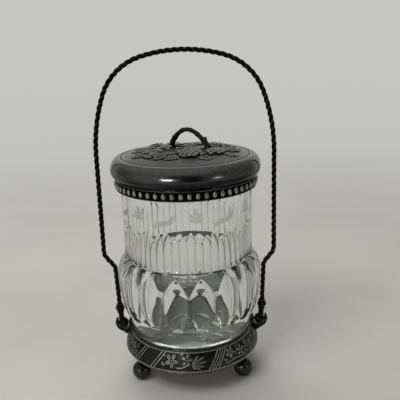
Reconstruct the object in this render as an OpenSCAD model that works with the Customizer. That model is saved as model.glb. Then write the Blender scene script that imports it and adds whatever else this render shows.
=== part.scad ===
// Biscuit jar: a moulded glass jar with a domed metal lid, standing in a footed
// metal ring and carried by a twisted wire bail.
// Origin: centre of the foot circle at table level. +Z up, -Y front, bail hinges on +X and -X.

/* [Stand] */
// Height of the underside of the stand ring above the table
stand_z = 20.5; // [19.5:0.5:22]
// Height of the stand ring
stand_h = 22.8; // [21.5:0.1:23.5]
// Greatest radius of the embossed wall of the ring
stand_r = 61; // [60:0.25:61.5]
// Thickness of the ring wall
stand_t = 1.3; // [1:0.1:1.5]
// Diameter of a ball foot
foot_d = 17; // [15:0.5:17.5]
// Radius of the circle that the feet stand on
foot_ring_r = 53; // [51:0.5:53]
// Depth of the worn flat under each foot
foot_flat = 0.4; // [0.3:0.1:0.6]

/* [Jar] */
// Outer radius of the straight upper wall
jar_r = 56.8; // [56.4:0.1:57]
// Greatest outer radius of the lower bulge
bulge_r = 63.8; // [62.5:0.1:63.9]
// Height of the mouth above the table
jar_top = 183; // [181:0.5:185]
// Height of the shoulder where the bulge meets the upper wall
shoulder_z = 111.5; // [110:0.5:113]
// Thickness of the glass wall
glass_t = 4.2; // [3.5:0.1:4.5]
// Number of pressed scoops round the bulge
scoop_count = 18; // [16:2:20]
// Depth of a scoop at its deepest
scoop_depth = 2.1; // [1.6:0.1:2.4]
// Number of flutes round the wall for each scoop
flutes_each = 3; // [2:1:3]
// Depth of a flute
flute_depth = 1; // [0.7:0.1:1.2]

/* [Lid] */
// Greatest radius of the rolled rim
lid_r = 65; // [64.5:0.25:66]
// Rise of the domed top above the jar mouth
dome_rise = 21.2; // [20:0.2:22]
// Thickness of the lid metal
lid_t = 1.2; // [1:0.1:1.4]
// Number of beads in the band
bead_count = 56; // [48:2:58]
// Radius of one bead
bead_r = 2; // [1.7:0.05:2.1]
// Height of the raised flowers and fruit above the dome
relief_h = 1.3; // [1:0.1:1.5]

/* [Bail] */
// Height of the top of the arch, along the centre of the wire rope
bail_top = 287.2; // [284:0.2:290]
// Radius of one of the three wires
wire_r = 1; // [0.9:0.05:1.05]
// Length of one full turn of the twist
twist_pitch = 17.4; // [16.2:0.2:18.6]
// Radius of the eye at each end
eye_r = 4.6; // [4.4:0.1:4.7]
// Radius of the knob above each eye
knob_r = 4.2; // [4:0.1:4.4]
// Radius of the pivot pin
pin_r = 1.5; // [1.2:0.1:1.6]
// Radial clearance of the pin in the eye
pin_fit = 0.05; // [0.03:0.01:0.08]

/* [Hidden] */
$fn = 96;
gap = 0.03;

band_foot_r = stand_r - 2.3;
band_head_r = stand_r - 5.6;
rim_tube_r = 1.55;
rim_r = band_head_r - 0.6;
rim_z = stand_z + stand_h - rim_tube_r;
hem_tube_r = 1.1;
hem_r = band_foot_r - 1;
hem_z = stand_z + hem_tube_r;
band_z0 = hem_z + 1;
band_z1 = rim_z - rim_tube_r + 0.2;
floor_z0 = stand_z + 1.4;
floor_t = 1.2;
floor_r = hem_r - hem_tube_r - 0.3;

jar_z0 = floor_z0 + floor_t + 0.1;
bulge_z = shoulder_z - 15.5;
scoop_r = 30;
scoop_lean = 2;
flute_count = scoop_count * flutes_each;
flute_z0 = shoulder_z + 1.2;
flute_z1 = shoulder_z + 31.5;
flute_half = PI * jar_r / flute_count;
flute_r = (flute_half * flute_half + flute_depth * flute_depth) / (2 * flute_depth);
skirt_r = jar_r + 2.2;
skirt_z0 = jar_top - 9.7;
flange_z0 = jar_top + 0.1;
cap_lip_z = jar_top - 0.5;
strip_h = cap_lip_z - skirt_z0 - 0.4;
cap_mid_z = jar_top + 6.4;
dome_r = lid_r - 8;
dome_z = jar_top + 17;

pivot_z = stand_z + stand_h - 0.9;
ear_x = 55.6;
ear_t = 2.2;
cheek_x = 69.9;
cheek_t = 1.6;
pocket_r = 5.4;
lug_w = 9;
pin_x = rim_r + rim_tube_r + 0.1;
eye_x = 62.8;
eye_half = 4.3;
knob = [65.7, pivot_z + 14.7];
leg_tilt = 2.4;
twig_r = 2.15;
stud_r = 1.2;
wire_off = 1.24 * wire_r;

// Points from p to q, bowed sideways by s at the middle.
function bow(p, q, s, n = 10) =
    let (d = q - p, len = norm(d), side = [d[1], -d[0]] / len)
    [for (i = [0:n]) let (t = i / n) p + d * t + side * s * 4 * t * (1 - t)];

// Points of an elliptical arc about c with half axes a and b.
function arc(c, a, b, from, to, n = 10) =
    [for (i = [0:n]) let (w = from + (to - from) * i / n) c + [a * cos(w), b * sin(w)]];

// A list of points in the opposite order.
function back(pts) = [for (i = [len(pts) - 1:-1:0]) pts[i]];

// Outer line of the ring wall, from the hem up to the top moulding.
function band_line() = concat(
    arc([stand_r - 2.6, band_z0 + 2.6], 2.6, 2.6, -78, 0, 5),
    bow([stand_r - 0.05, band_z0 + 3.2], [band_head_r, band_z1], 0.9, 9));

// Outer line of the glass from the foot to the shoulder.
function bulge_line() = concat(
    [[jar_r - 9.3, jar_z0], [jar_r - 7.6, jar_z0 + 1.6]],
    bow([jar_r - 6.6, jar_z0 + 6], [jar_r - 4.4, stand_z + stand_h + 0.2], 0.2, 4),
    bow([jar_r - 3.6, stand_z + stand_h + 2.2], [bulge_r, bulge_z], 2.9, 12),
    arc([bulge_r - 16.5, bulge_z], 16.5, 19.5, 6, 53, 8));

// Inner line of the glass, the plunger's shape, which narrows all the way down to the floor.
function hollow_line() = concat(
    [[jar_r - glass_t, shoulder_z + 1.5]],
    bow([jar_r - glass_t - 1, shoulder_z - 27.5], [jar_r - 9.2, jar_z0 + 12], -0.9, 8),
    arc([jar_r - 15.5, jar_z0 + 12], 6.3, 5.4, -10, -90, 6));

// Outer line of the lid, from the axis to the lip, d inside the real surface.
function cap_line(d) = concat(
    [[0, jar_top + dome_rise - d]],
    [for (r = [8:8:48]) [r, jar_top + dome_rise - d - 4.2 * pow(r / dome_r, 2)]],
    arc([dome_r, cap_mid_z], lid_r - dome_r - d, dome_z - cap_mid_z - d, 90, 0, 9),
    arc([dome_r + 1.5, cap_mid_z], lid_r - dome_r - 1.5 - d, cap_mid_z - cap_lip_z - d, -8, -70, 6));

// A straight round bar from p to q with radius r1 at p and r2 at q.
module bar(p, q, r1, r2) {
    d = q - p;
    length = norm(d);
    translate(p)
        rotate([0, acos(d[2] / length), atan2(d[1], d[0])])
            cylinder(h = length, r1 = r1, r2 = r2, $fn = 32);
}

// ---- stand ----

module band_section() {
    line = band_line();
    inner = [for (p = back(line)) p - [stand_t, 0]];
    polygon(concat(line, inner));
}

module base_band() color("dimgray") rotate_extrude() band_section();

module base_top_rim() color("gray")
    rotate_extrude() translate([rim_r, rim_z]) difference() {
        circle(r = rim_tube_r, $fn = 32);
        translate([-3, -3]) square([6, 1.75]);
    }

module base_bottom_rim() color("lightgray")
    rotate_extrude() translate([hem_r, hem_z]) difference() {
        circle(r = hem_tube_r, $fn = 32);
        translate([-0.2, 0.9]) square([2, 1]);
    }

module base_floor() color("silver") translate([0, 0, floor_z0]) cylinder(h = floor_t, r = floor_r);

module foot(angle) {
    rotate([0, 0, angle]) translate([foot_ring_r, 0, 0]) {
        difference() {
            translate([0, 0, foot_d / 2 - foot_flat]) sphere(d = foot_d, $fn = 64);
            translate([0, 0, -5]) cube([20, 20, 10], center = true);
        }
        translate([0, 0, foot_d - 2.2]) cylinder(h = floor_z0 - 0.02 - foot_d + 2.2, r = 3.1);
    }
}

module foot_left() color("slategray") foot(-150);
module foot_right() color("slategray") foot(-30);
module foot_back() color("slategray") foot(90);

// Shape of the right lug seen from the front: inner ear, seat under the eye and outer cheek.
module lug_section() polygon(concat(
    [[ear_x, pivot_z + 6.4], [ear_x + ear_t, pivot_z + 6.4], [ear_x + ear_t, pivot_z - 2.04]],
    arc([eye_x, pivot_z], pocket_r, pocket_r, 205, 360, 14),
    [[cheek_x - cheek_t, pivot_z + 6.4], [cheek_x, pivot_z + 6.4]],
    bow([cheek_x, pivot_z - 0.5], [cheek_x - 11, pivot_z - 11.4], -1.6, 10),
    [[ear_x, pivot_z - 11.6]]));

module right_lug() {
    difference() {
        intersection() {
            translate([0, lug_w / 2, 0]) rotate([90, 0, 0]) linear_extrude(lug_w) lug_section();
            union() {
                translate([50, 0, pivot_z]) rotate([0, 90, 0]) cylinder(h = 25, r = lug_w / 2 + 0.3);
                translate([50, -10, pivot_z - 20]) cube([25, 20, 20]);
            }
        }
        rotate_extrude() polygon(concat(
            [[0, band_z0 - 1]],
            [for (p = band_line()) p + [gap, 0]],
            arc([rim_r, rim_z], rim_tube_r + 2 * gap, rim_tube_r + 2 * gap, -58, 90, 12),
            [[0, rim_z + rim_tube_r]]));
        translate([50, 0, pivot_z]) rotate([0, 90, 0]) cylinder(h = 30, r = pin_r + 0.02);
    }
}

module lug_right() color("darkslategray") right_lug();
module lug_left() color("darkslategray") mirror([1, 0, 0]) right_lug();

module right_pin() {
    translate([pin_x, 0, pivot_z]) rotate([0, 90, 0])
        cylinder(h = cheek_x - pin_x + 0.1, r = pin_r);
    translate([cheek_x + 0.03, 0, pivot_z]) rotate([0, 90, 0]) intersection() {
        cylinder(h = 1.1, r = 2.7);
        translate([0, 0, -2.9]) sphere(r = 4, $fn = 48);
    }
}

module pivot_pin_right() color("gold") right_pin();
module pivot_pin_left() color("gold") mirror([1, 0, 0]) right_pin();

// ---- jar ----

module jar_section() polygon(concat(
    [[0, jar_z0 + 1.5], [jar_r - 12, jar_z0 + 1.5], [jar_r - 11.2, jar_z0]],
    bulge_line(),
    [[jar_r, shoulder_z + 0.7], [jar_r, jar_top - 1]],
    arc([jar_r - 1, jar_top - 1], 1, 1, 15, 90, 4),
    arc([jar_r - glass_t + 1, jar_top - 1], 1, 1, 90, 165, 4),
    [[jar_r - glass_t, jar_top - 1.2]],
    hollow_line(),
    [[0, jar_z0 + 6.6]]));

// The bulge is pressed into a ring of upright scoops, each hollowed by a leaning cylinder.
module jar_glass() color("lightblue", 0.5) difference() {
    rotate_extrude() jar_section();
    for (i = [0:scoop_count - 1]) rotate([0, 0, 360 * (i + 0.5) / scoop_count - 90])
        translate([bulge_r - scoop_depth + scoop_r, 0, bulge_z - 6]) rotate([0, scoop_lean, 0])
            cylinder(h = 50, r = scoop_r, center = true, $fn = 120);
    for (i = [0:flute_count - 1]) rotate([0, 0, 360 * (i + 0.5) / flute_count])
        translate([jar_r - flute_depth + flute_r, 0, flute_z0])
            cylinder(h = flute_z1 - flute_z0, r = flute_r, $fn = 48);
}

// ---- lid ----

// Height of the smooth dome at distance r from the axis.
function dome_at(r) = jar_top + dome_rise - 4.2 * pow(r / dome_r, 2);

// Places and radii of the raised motifs: bunches of fruit first, then flowers, then leaves.
fruit = [[4.5, -13, 8.5], [4.5, -25, 8], [27, -12, 8], [27, 26, 7.5], [-20, 8, 7.5], [-27, 40, 6]];
flowers = [[-27, -19, 7.5], [10, 28, 7], [-12, 44, 5.5], [-14, -31, 6], [42, -2, 6]];
leaves = [[40, 14, 6.5], [-39, -7, 6], [-37, 23, 6.5], [19, -38, 7], [38, -26, 6]];

// A low round boss on the dome.
module motif(m) {
    ball = (m[2] * m[2] + relief_h * relief_h) / (2 * relief_h);
    translate([m[0], m[1], dome_at(norm([m[0], m[1]]))]) intersection() {
        translate([0, 0, relief_h - ball]) sphere(r = ball, $fn = 96);
        translate([0, 0, -2]) cylinder(h = 4, r = m[2] + 1, $fn = 48);
    }
}

module lid_cap() color("dimgray") difference() {
    union() {
        rotate_extrude() difference() {
            polygon(concat(cap_line(0), [[skirt_r + 0.05, cap_lip_z + 0.1],
                                         [skirt_r + 0.05, cap_lip_z + lid_t], [0, cap_lip_z + lid_t]]));
            translate([dome_r - 1.6, dome_z - 0.35]) square([0.5, 2]);
            translate([dome_r - 3.2, dome_z - 0.25]) square([0.5, 2]);
        }
        for (m = concat(fruit, flowers, leaves)) motif(m);
    }
    rotate_extrude()
        polygon(concat(cap_line(lid_t), [[skirt_r + 1, cap_lip_z + lid_t], [0, cap_lip_z + lid_t]]));
    for (f = [twig_left, twig_right]) translate([f[0], f[1], jar_top])
        cylinder(h = 30, r = stud_r + 0.05);
}

module lid_skirt() color("gray") rotate_extrude() {
    translate([skirt_r - lid_t, skirt_z0]) square([lid_t, flange_z0 - skirt_z0 + lid_t]);
    translate([jar_r - glass_t + 0.5, flange_z0]) square([skirt_r - jar_r + glass_t - 0.5, lid_t]);
}

module lid_bead_band() color("silver") {
    rotate_extrude() {
        translate([skirt_r + 0.05, skirt_z0 + 0.1]) square([1.2, strip_h]);
        translate([skirt_r + 0.05, skirt_z0 + 0.1]) square([2.2, 0.8]);
        translate([skirt_r + 0.05, skirt_z0 + strip_h - 0.6]) square([2.5, 0.7]);
    }
    for (i = [0:bead_count - 1]) rotate([0, 0, 360 * (i + 0.5) / bead_count])
        translate([skirt_r + bead_r + 0.1, 0, skirt_z0 + 0.1 + strip_h / 2]) rotate([0, 90, 0])
            sphere(r = bead_r, $fn = 16);
}

twig_left = [-12, 22];
twig_right = [20, 0];
twig_z = jar_top + dome_rise - 0.4;
twig_rise = 15.5;
twig_way = (twig_right - twig_left) / norm(twig_right - twig_left);

// Centre of the handle at fraction t of its span: a lopsided arch with both ends let into the dome.
function twig(t) = let (u = t + 0.4 * t * t * (1 - t))
    [twig_left[0] + (twig_right[0] - twig_left[0]) * t, twig_left[1] + (twig_right[1] - twig_left[1]) * t,
     twig_z + (t <= 0 || t >= 1 ? -1.8 : twig_rise * pow(sin(180 * u), 0.6))];

// Radius of the handle at t, thicker at both feet and knotted like bark.
function twig_radius(t) = twig_r - 0.15 + 0.8 * pow(abs(2 * t - 1), 4) + 0.12 * sin(360 * 5.5 * t);

// Closed tube through the centre points, with rings of the given radii.
module tube(centres, radii, sides) {
    last = len(centres) - 1;
    rings = [for (i = [0:last])
        let (d = centres[min(i + 1, last)] - centres[max(i - 1, 0)], dir = d / norm(d),
             side = [-twig_way[1], twig_way[0], 0], up = cross(dir, side))
        [for (k = [0:sides - 1]) centres[i]
            + radii[i] * (side * cos(360 * k / sides) + up * sin(360 * k / sides))]];
    walls = [for (i = [0:last - 1], k = [0:sides - 1]) let (m = (k + 1) % sides)
        each [[i * sides + k, (i + 1) * sides + k, (i + 1) * sides + m],
              [i * sides + k, (i + 1) * sides + m, i * sides + m]]];
    polyhedron([for (ring = rings) each ring],
        concat(walls, [[for (k = [0:sides - 1]) k]], [[for (k = [sides - 1:-1:0]) last * sides + k]]));
}

module twig_handle() color("saddlebrown") {
    steps = [0, 0.012, 0.04, 0.08, 0.13, 0.19, 0.26, 0.34, 0.42, 0.5, 0.58, 0.66,
             0.74, 0.81, 0.87, 0.92, 0.96, 0.988, 1];
    stub = twig(0.86);
    difference() {
        union() {
            tube([for (t = steps) twig(t)], [for (t = steps) twig_radius(t)], 12);
            bar(stub, stub + [3.4, -1.2, 1.4], 1.7, 1.3);
        }
        rotate_extrude() polygon(concat(cap_line(-gap), [[0, cap_lip_z]]));
    }
    for (f = [twig_left, twig_right]) translate([f[0], f[1], jar_top + 16.1])
        cylinder(h = 5.9, r = stud_r);
}

module handle_nuts() color("gold")
    for (f = [twig_left, twig_right]) translate([f[0], f[1], jar_top + 16.2]) difference() {
        cylinder(h = 2, r = 3, $fn = 6);
        translate([0, 0, -1]) cylinder(h = 4, r = stud_r + 0.05);
    }

// ---- bail ----

// Half of the route, from the apex outwards: length and total turn of each stretch.
half_route = [[34.9, 16], [47.12, 54], [52.36, 20], [bail_top - 200.1, 0],
              [6.63, 38], [9.4, 0], [4.35, 0 - 35.6], [37.2, 0]];

// Position and heading after walking s along the half route.
function walk(s, i = 0, p = [0, 0], h = 0) =
    let (seg = half_route[i], run = min(s, seg[0]), turn = seg[1] * run / seg[0],
         r = seg[1] == 0 ? 0 : seg[0] / (seg[1] * PI / 180),
         q = seg[1] == 0 ? p + run * [cos(h), -sin(h)]
           : p + r * [sin(h + turn) - sin(h), cos(h + turn) - cos(h)])
    s <= seg[0] || i == len(half_route) - 1 ? [q, h + turn] : walk(s - seg[0], i + 1, q, h + turn);

function sum(v, i = 0) = i == len(v) ? 0 : v[i][0] + sum(v, i + 1);
half_len = sum(half_route);

// Point and heading at s, measured from the apex, negative towards the left leg.
function route(s) = let (w = walk(abs(s)), k = s < 0 ? -1 : 1)
    [[k * w[0][0], 0, bail_top + w[0][1]], k * w[1]];

// Ring of points round one wire at s along the route. The twist is left-handed.
function wire_ring(s, phase, sides) =
    let (pt = route(s), w = phase - 360 * s / twist_pitch, h = pt[1],
         along = [cos(h), 0, -sin(h)], across = [sin(h), 0, cos(h)], y = [0, 1, 0],
         out = across * cos(w) + y * sin(w),
         spin = (y * cos(w) - across * sin(w)) * (-2 * PI * wire_off / twist_pitch),
         dir = (along + spin) / norm(along + spin), side = cross(dir, out))
    [for (k = [0:sides - 1]) pt[0] + wire_off * out
        + wire_r * (cos(360 * k / sides) * out + sin(360 * k / sides) * side)];

module strand(phase, sides = 6, per_turn = 10) {
    steps = floor(2 * half_len / twist_pitch * per_turn);
    rings = [for (i = [0:steps]) wire_ring(-half_len + 2 * half_len * i / steps, phase, sides)];
    points = [for (ring = rings) each ring];
    walls = [for (i = [0:steps - 1], k = [0:sides - 1])
        let (m = (k + 1) % sides)
        [i * sides + k, (i + 1) * sides + k, (i + 1) * sides + m, i * sides + m]];
    tris = [for (f = walls) each [[f[0], f[1], f[2]], [f[0], f[2], f[3]]]];
    start = [for (k = [0:sides - 1]) k];
    end = [for (k = [sides - 1:-1:0]) steps * sides + k];
    polyhedron(points, concat(tris, [start], [end]));
}

module bail_strand_a() color("black") strand(0);
module bail_strand_b() color("dimgray") strand(120);
module bail_strand_c() color("gray") strand(240);

module right_end() {
    difference() {
        union() {
            intersection() {
                translate([eye_x, 0, pivot_z]) sphere(r = eye_r, $fn = 48);
                translate([eye_x, 0, pivot_z]) cube([2 * eye_half, 12, 12], center = true);
            }
            bar([eye_x + 2.1, 0, pivot_z + 3.4], [knob[0], 0, knob[1]], 2.6, 2.8);
            translate([knob[0], 0, knob[1]]) sphere(r = knob_r, $fn = 48);
            translate([knob[0], 0, knob[1]]) rotate([0, leg_tilt, 0]) translate([0, 0, 3])
                cylinder(h = 1.4, r = 3.1);
        }
        translate([eye_x - 10, 0, pivot_z]) rotate([0, 90, 0]) cylinder(h = 20, r = pin_r + pin_fit);
        translate([knob[0], 0, knob[1]]) rotate([0, leg_tilt, 0])
            cylinder(h = 10, r = wire_off + wire_r + 0.16);
    }
}

module bail_end_right() color("darkolivegreen") right_end();
module bail_end_left() color("darkolivegreen") mirror([1, 0, 0]) right_end();

base_band();
base_top_rim();
base_bottom_rim();
base_floor();
foot_left();
foot_right();
foot_back();
lug_left();
lug_right();
pivot_pin_left();
pivot_pin_right();
jar_glass();
lid_cap();
lid_skirt();
lid_bead_band();
twig_handle();
handle_nuts();
bail_end_left();
bail_end_right();
bail_strand_a();
bail_strand_b();
bail_strand_c();
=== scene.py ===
"""Looks of a pressed glass biscuit jar with a silver plated stand, lid and bail.

All sizes in the classes are in millimetres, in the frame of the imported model:
+Z up, -Y to the front, the origin at table level under the jar's axis.
"""

import logging
import math
from collections.abc import Iterator, Sequence
from contextlib import contextmanager
from dataclasses import dataclass, field
from enum import Enum

import bpy
import numpy as np
from mathutils import Matrix, Vector

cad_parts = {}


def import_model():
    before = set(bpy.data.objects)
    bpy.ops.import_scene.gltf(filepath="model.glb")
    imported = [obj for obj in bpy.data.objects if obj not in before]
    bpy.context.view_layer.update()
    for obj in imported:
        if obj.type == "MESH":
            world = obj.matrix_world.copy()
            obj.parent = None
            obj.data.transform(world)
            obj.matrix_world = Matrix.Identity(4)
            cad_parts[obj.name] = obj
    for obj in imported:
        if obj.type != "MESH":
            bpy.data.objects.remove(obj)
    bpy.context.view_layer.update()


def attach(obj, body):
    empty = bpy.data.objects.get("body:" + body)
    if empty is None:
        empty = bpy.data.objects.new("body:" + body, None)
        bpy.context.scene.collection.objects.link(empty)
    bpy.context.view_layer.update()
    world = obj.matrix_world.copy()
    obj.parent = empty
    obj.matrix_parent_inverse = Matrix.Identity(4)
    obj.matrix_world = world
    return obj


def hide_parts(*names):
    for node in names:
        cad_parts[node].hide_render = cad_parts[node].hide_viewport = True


MM = 0.001
# Vertices that are this near to each other, in millimetres, are one.
DOUBLES = 0.001
# Petals of every flower in the raised work.
PETALS = 5
Piece = bpy.types.Object
Socket = bpy.types.NodeSocket
Line = list[tuple[float, float]]
Link = Socket | float | tuple
Values = np.ndarray | float

log = logging.getLogger("biscuit_jar")


# ---------------------------------------------------------------- drawing lines


def bow(start: tuple, end: tuple, bulge: float, count: int) -> Line:
    """Points from start to end, bowed sideways.

    Args:
        start: First point.
        end: Last point.
        bulge: Sideways offset at the middle, to the right of the way.
        count: Number of steps.

    Returns:
        The points, both ends among them.
    """
    p, q = np.array(start, float), np.array(end, float)
    way = q - p
    side = np.array([way[1], -way[0]]) / np.linalg.norm(way)
    return [
        tuple(p + way * t + side * bulge * 4 * t * (1 - t))
        for t in np.linspace(0, 1, count + 1)
    ]


def arc(centre: tuple, half: tuple, start: float, end: float, count: int) -> Line:
    """Points of an elliptical arc.

    Args:
        centre: Centre of the ellipse.
        half: Half axes across and up.
        start: First angle in degrees.
        end: Last angle in degrees.
        count: Number of steps.

    Returns:
        The points, both ends among them.
    """
    turns = np.radians(np.linspace(start, end, count + 1))
    return [
        (centre[0] + half[0] * math.cos(w), centre[1] + half[1] * math.sin(w))
        for w in turns
    ]


def strides(line: Line) -> Iterator[tuple[float, float, float]]:
    """The moves in metres from each point of a line to the next."""
    for before, after in zip(line[:-1], line[1:]):
        yield (after[0] - before[0]) * MM, 0, (after[1] - before[1]) * MM


def ease(value: Values) -> Values:
    """Smooth step from 0 to 1 for a value from 0 to 1."""
    t = np.clip(value, 0, 1)
    return t * t * (3 - 2 * t)


def wrap(angle: np.ndarray, period: float) -> np.ndarray:
    """The angle brought into the half open range around 0 that is one period wide."""
    return (angle + period / 2) % period - period / 2


# ------------------------------------------------------------- modelling by hand


def clear_selection() -> None:
    """Leaves nothing selected, so that an operator acts on the new piece alone."""
    for thing in bpy.context.selected_objects:
        thing.select_set(False)


def take(piece: Piece) -> None:
    """Makes the piece the only selected and the active object.

    Args:
        piece: The piece to work on.
    """
    clear_selection()
    piece.select_set(True)
    bpy.context.view_layer.objects.active = piece


@contextmanager
def editing(piece: Piece, kind: str = "VERT") -> Iterator[None]:
    """Edit mode on one piece, with all of it selected.

    Args:
        piece: The mesh to edit.
        kind: VERT, EDGE or FACE selection.
    """
    take(piece)
    bpy.ops.object.mode_set(mode="EDIT")
    bpy.ops.mesh.select_mode(type=kind)
    bpy.ops.mesh.select_all(action="SELECT")
    yield
    bpy.ops.object.mode_set(mode="OBJECT")


def settle(piece: Piece) -> Piece:
    """Moves the object's place, turn and scale into its mesh.

    Args:
        piece: The object.

    Returns:
        The same piece.
    """
    take(piece)
    bpy.ops.object.transform_apply(location=True, rotation=True, scale=True)
    return piece


def close_up(piece: Piece) -> Piece:
    """Merges doubles and points the faces outwards.

    Args:
        piece: The mesh.

    Returns:
        The same piece.
    """
    with editing(piece):
        bpy.ops.mesh.remove_doubles(threshold=DOUBLES * MM)
        bpy.ops.mesh.select_all(action="SELECT")
        bpy.ops.mesh.normals_make_consistent(inside=False)
    return piece


def smooth(piece: Piece, angle: float) -> Piece:
    """Shades the piece smooth, with edges sharper than the angle kept crisp.

    Args:
        piece: The mesh.
        angle: Angle in degrees.

    Returns:
        The same piece.
    """
    take(piece)
    bpy.ops.object.shade_smooth_by_angle(angle=math.radians(angle))
    return piece


def dot(name: str, x: float, z: float) -> Piece:
    """A speck of a plane in the middle plane, to be merged into a line's first point.

    Args:
        name: Name of the piece.
        x: Place across in millimetres.
        z: Height in millimetres.

    Returns:
        The plane.
    """
    clear_selection()
    bpy.ops.mesh.primitive_plane_add(size=MM, location=(x * MM, 0, z * MM))
    piece = bpy.context.object
    piece.name = piece.data.name = name
    return settle(piece)


def turned(name: str, line: Line, steps: int, loop: bool = False) -> Piece:
    """Turns a line about Z, as on a lathe.

    Args:
        name: Name of the piece.
        line: Points of radius and height.
        steps: Number of faces round the axis.
        loop: Whether the line closes on itself.

    Returns:
        The turned mesh, closed and pointing outwards.
    """
    piece = dot(name, *line[0])
    with editing(piece):
        bpy.ops.mesh.merge(type="CENTER")
        for step in strides(line + line[:1] if loop else line):
            bpy.ops.mesh.extrude_vertices_move(TRANSFORM_OT_translate={"value": step})
        bpy.ops.mesh.select_all(action="SELECT")
        bpy.ops.mesh.remove_doubles(threshold=DOUBLES / 2 * MM)
        bpy.ops.mesh.select_all(action="SELECT")
        bpy.ops.mesh.spin(
            steps=steps, angle=2 * math.pi, center=(0, 0, 0), axis=(0, 0, 1)
        )
    return close_up(piece)


def tube(name: str, way: np.ndarray, radii: np.ndarray, resolution: int = 3) -> Piece:
    """A round bar along a way, made from a bevelled curve.

    Args:
        name: Name of the piece.
        way: Centre points in millimetres, one row each.
        radii: Radius at each point in millimetres.
        resolution: Bevel resolution of the curve.

    Returns:
        The closed mesh.
    """
    curve = bpy.data.curves.new(name, "CURVE")
    curve.dimensions = "3D"
    curve.bevel_depth = MM
    curve.bevel_resolution = resolution
    curve.use_fill_caps = True
    spline = curve.splines.new("POLY")
    spline.points.add(len(way) - 1)
    for point, place, radius in zip(spline.points, way, radii):
        point.co = (*(float(c) * MM for c in place), 1)
        point.radius = float(radius)
    piece = bpy.data.objects.new(name, curve)
    bpy.context.scene.collection.objects.link(piece)
    take(piece)
    bpy.ops.object.convert(target="MESH")
    return close_up(bpy.context.object)


def ball(name: str, centre: tuple, half: tuple, faces: int) -> Piece:
    """A ball or egg with its half axes, to be joined to a larger piece.

    Args:
        name: Name of the piece.
        centre: Its centre in millimetres.
        half: Its three half axes in millimetres.
        faces: Number of faces round it.

    Returns:
        The mesh.
    """
    clear_selection()
    bpy.ops.mesh.primitive_uv_sphere_add(segments=faces, ring_count=faces // 2, radius=MM)
    piece = bpy.context.object
    piece.name = name
    piece.scale = half
    piece.location = [c * MM for c in centre]
    return settle(piece)


def join(name: str, pieces: Sequence[Piece]) -> Piece:
    """Joins several meshes into the first and names it.

    Args:
        name: Name of the whole.
        pieces: The meshes.

    Returns:
        The first piece, now the whole.
    """
    clear_selection()
    for piece in pieces:
        piece.select_set(True)
    bpy.context.view_layer.objects.active = pieces[0]
    bpy.ops.object.join()
    whole = bpy.context.object
    whole.name = whole.data.name = name
    return whole


def copied(piece: Piece, name: str, change: Matrix | None = None) -> Piece:
    """A copy of a finished piece with a mesh of its own.

    Args:
        piece: The piece to copy.
        name: Name of the copy.
        change: What to do to the copied mesh, if anything.

    Returns:
        The copy, with its faces pointing outwards.
    """
    other = piece.copy()
    other.data = piece.data.copy()
    other.name = other.data.name = name
    bpy.context.scene.collection.objects.link(other)
    if change is not None:
        other.data.transform(change)
        if change.determinant() < 0:
            other.data.flip_normals()
    return other


def tipped(x: float, z: float, tilt: float) -> Matrix:
    """Puts what stands on the origin at a place in the middle plane, tilted to the right.

    Args:
        x: Place across in millimetres.
        z: Height in millimetres.
        tilt: Angle from upright in degrees.

    Returns:
        The matrix for a mesh in metres.
    """
    turn = Matrix.Rotation(math.radians(tilt), 4, "Y")
    return Matrix.Translation((x * MM, 0, z * MM)) @ turn


def apply_modifier(piece: Piece, kind: str, **settings: object) -> None:
    """Adds a modifier with its settings and applies it.

    Args:
        piece: The mesh.
        kind: Type of the modifier.
        settings: The modifier's own settings.
    """
    take(piece)
    made = piece.modifiers.new(kind.lower(), kind)
    for key, value in settings.items():
        setattr(made, key, value)
    bpy.ops.object.modifier_apply(modifier=made.name)


def cast(piece: Piece, voxel: float, passes: int) -> Piece:
    """Melts joined shapes into one skin with soft corners, as a casting has.

    Args:
        piece: Closed meshes joined in one object.
        voxel: Size of the new faces in millimetres.
        passes: Rounds of smoothing.

    Returns:
        The same piece.
    """
    apply_modifier(piece, "REMESH", mode="VOXEL", voxel_size=voxel * MM)
    apply_modifier(piece, "SMOOTH", factor=0.5, iterations=passes)
    return close_up(piece)


def points_of(piece: Piece) -> np.ndarray:
    """The piece's vertices in millimetres, one row each.

    Args:
        piece: The mesh.

    Returns:
        The places.
    """
    flat = np.empty(len(piece.data.vertices) * 3, np.float32)
    piece.data.vertices.foreach_get("co", flat)
    return flat.reshape(-1, 3).astype(float) / MM


def move_points(piece: Piece, points: np.ndarray) -> None:
    """Puts the piece's vertices at new places, given in millimetres."""
    piece.data.vertices.foreach_set("co", (points * MM).astype(np.float32).ravel())
    piece.data.update()


def polar(points: np.ndarray) -> tuple[np.ndarray, np.ndarray]:
    """Distances from the axis, and angles from the front in degrees, right positive."""
    reach = np.hypot(points[:, 0], points[:, 1])
    return reach, np.degrees(np.arctan2(points[:, 0], -points[:, 1]))


def mark(piece: Piece, name: str, values: np.ndarray) -> None:
    """Stores one number per vertex, for a material to read."""
    layer = piece.data.attributes.new(name, "FLOAT", "POINT")
    layer.data.foreach_set("value", np.asarray(values, np.float32))


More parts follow.
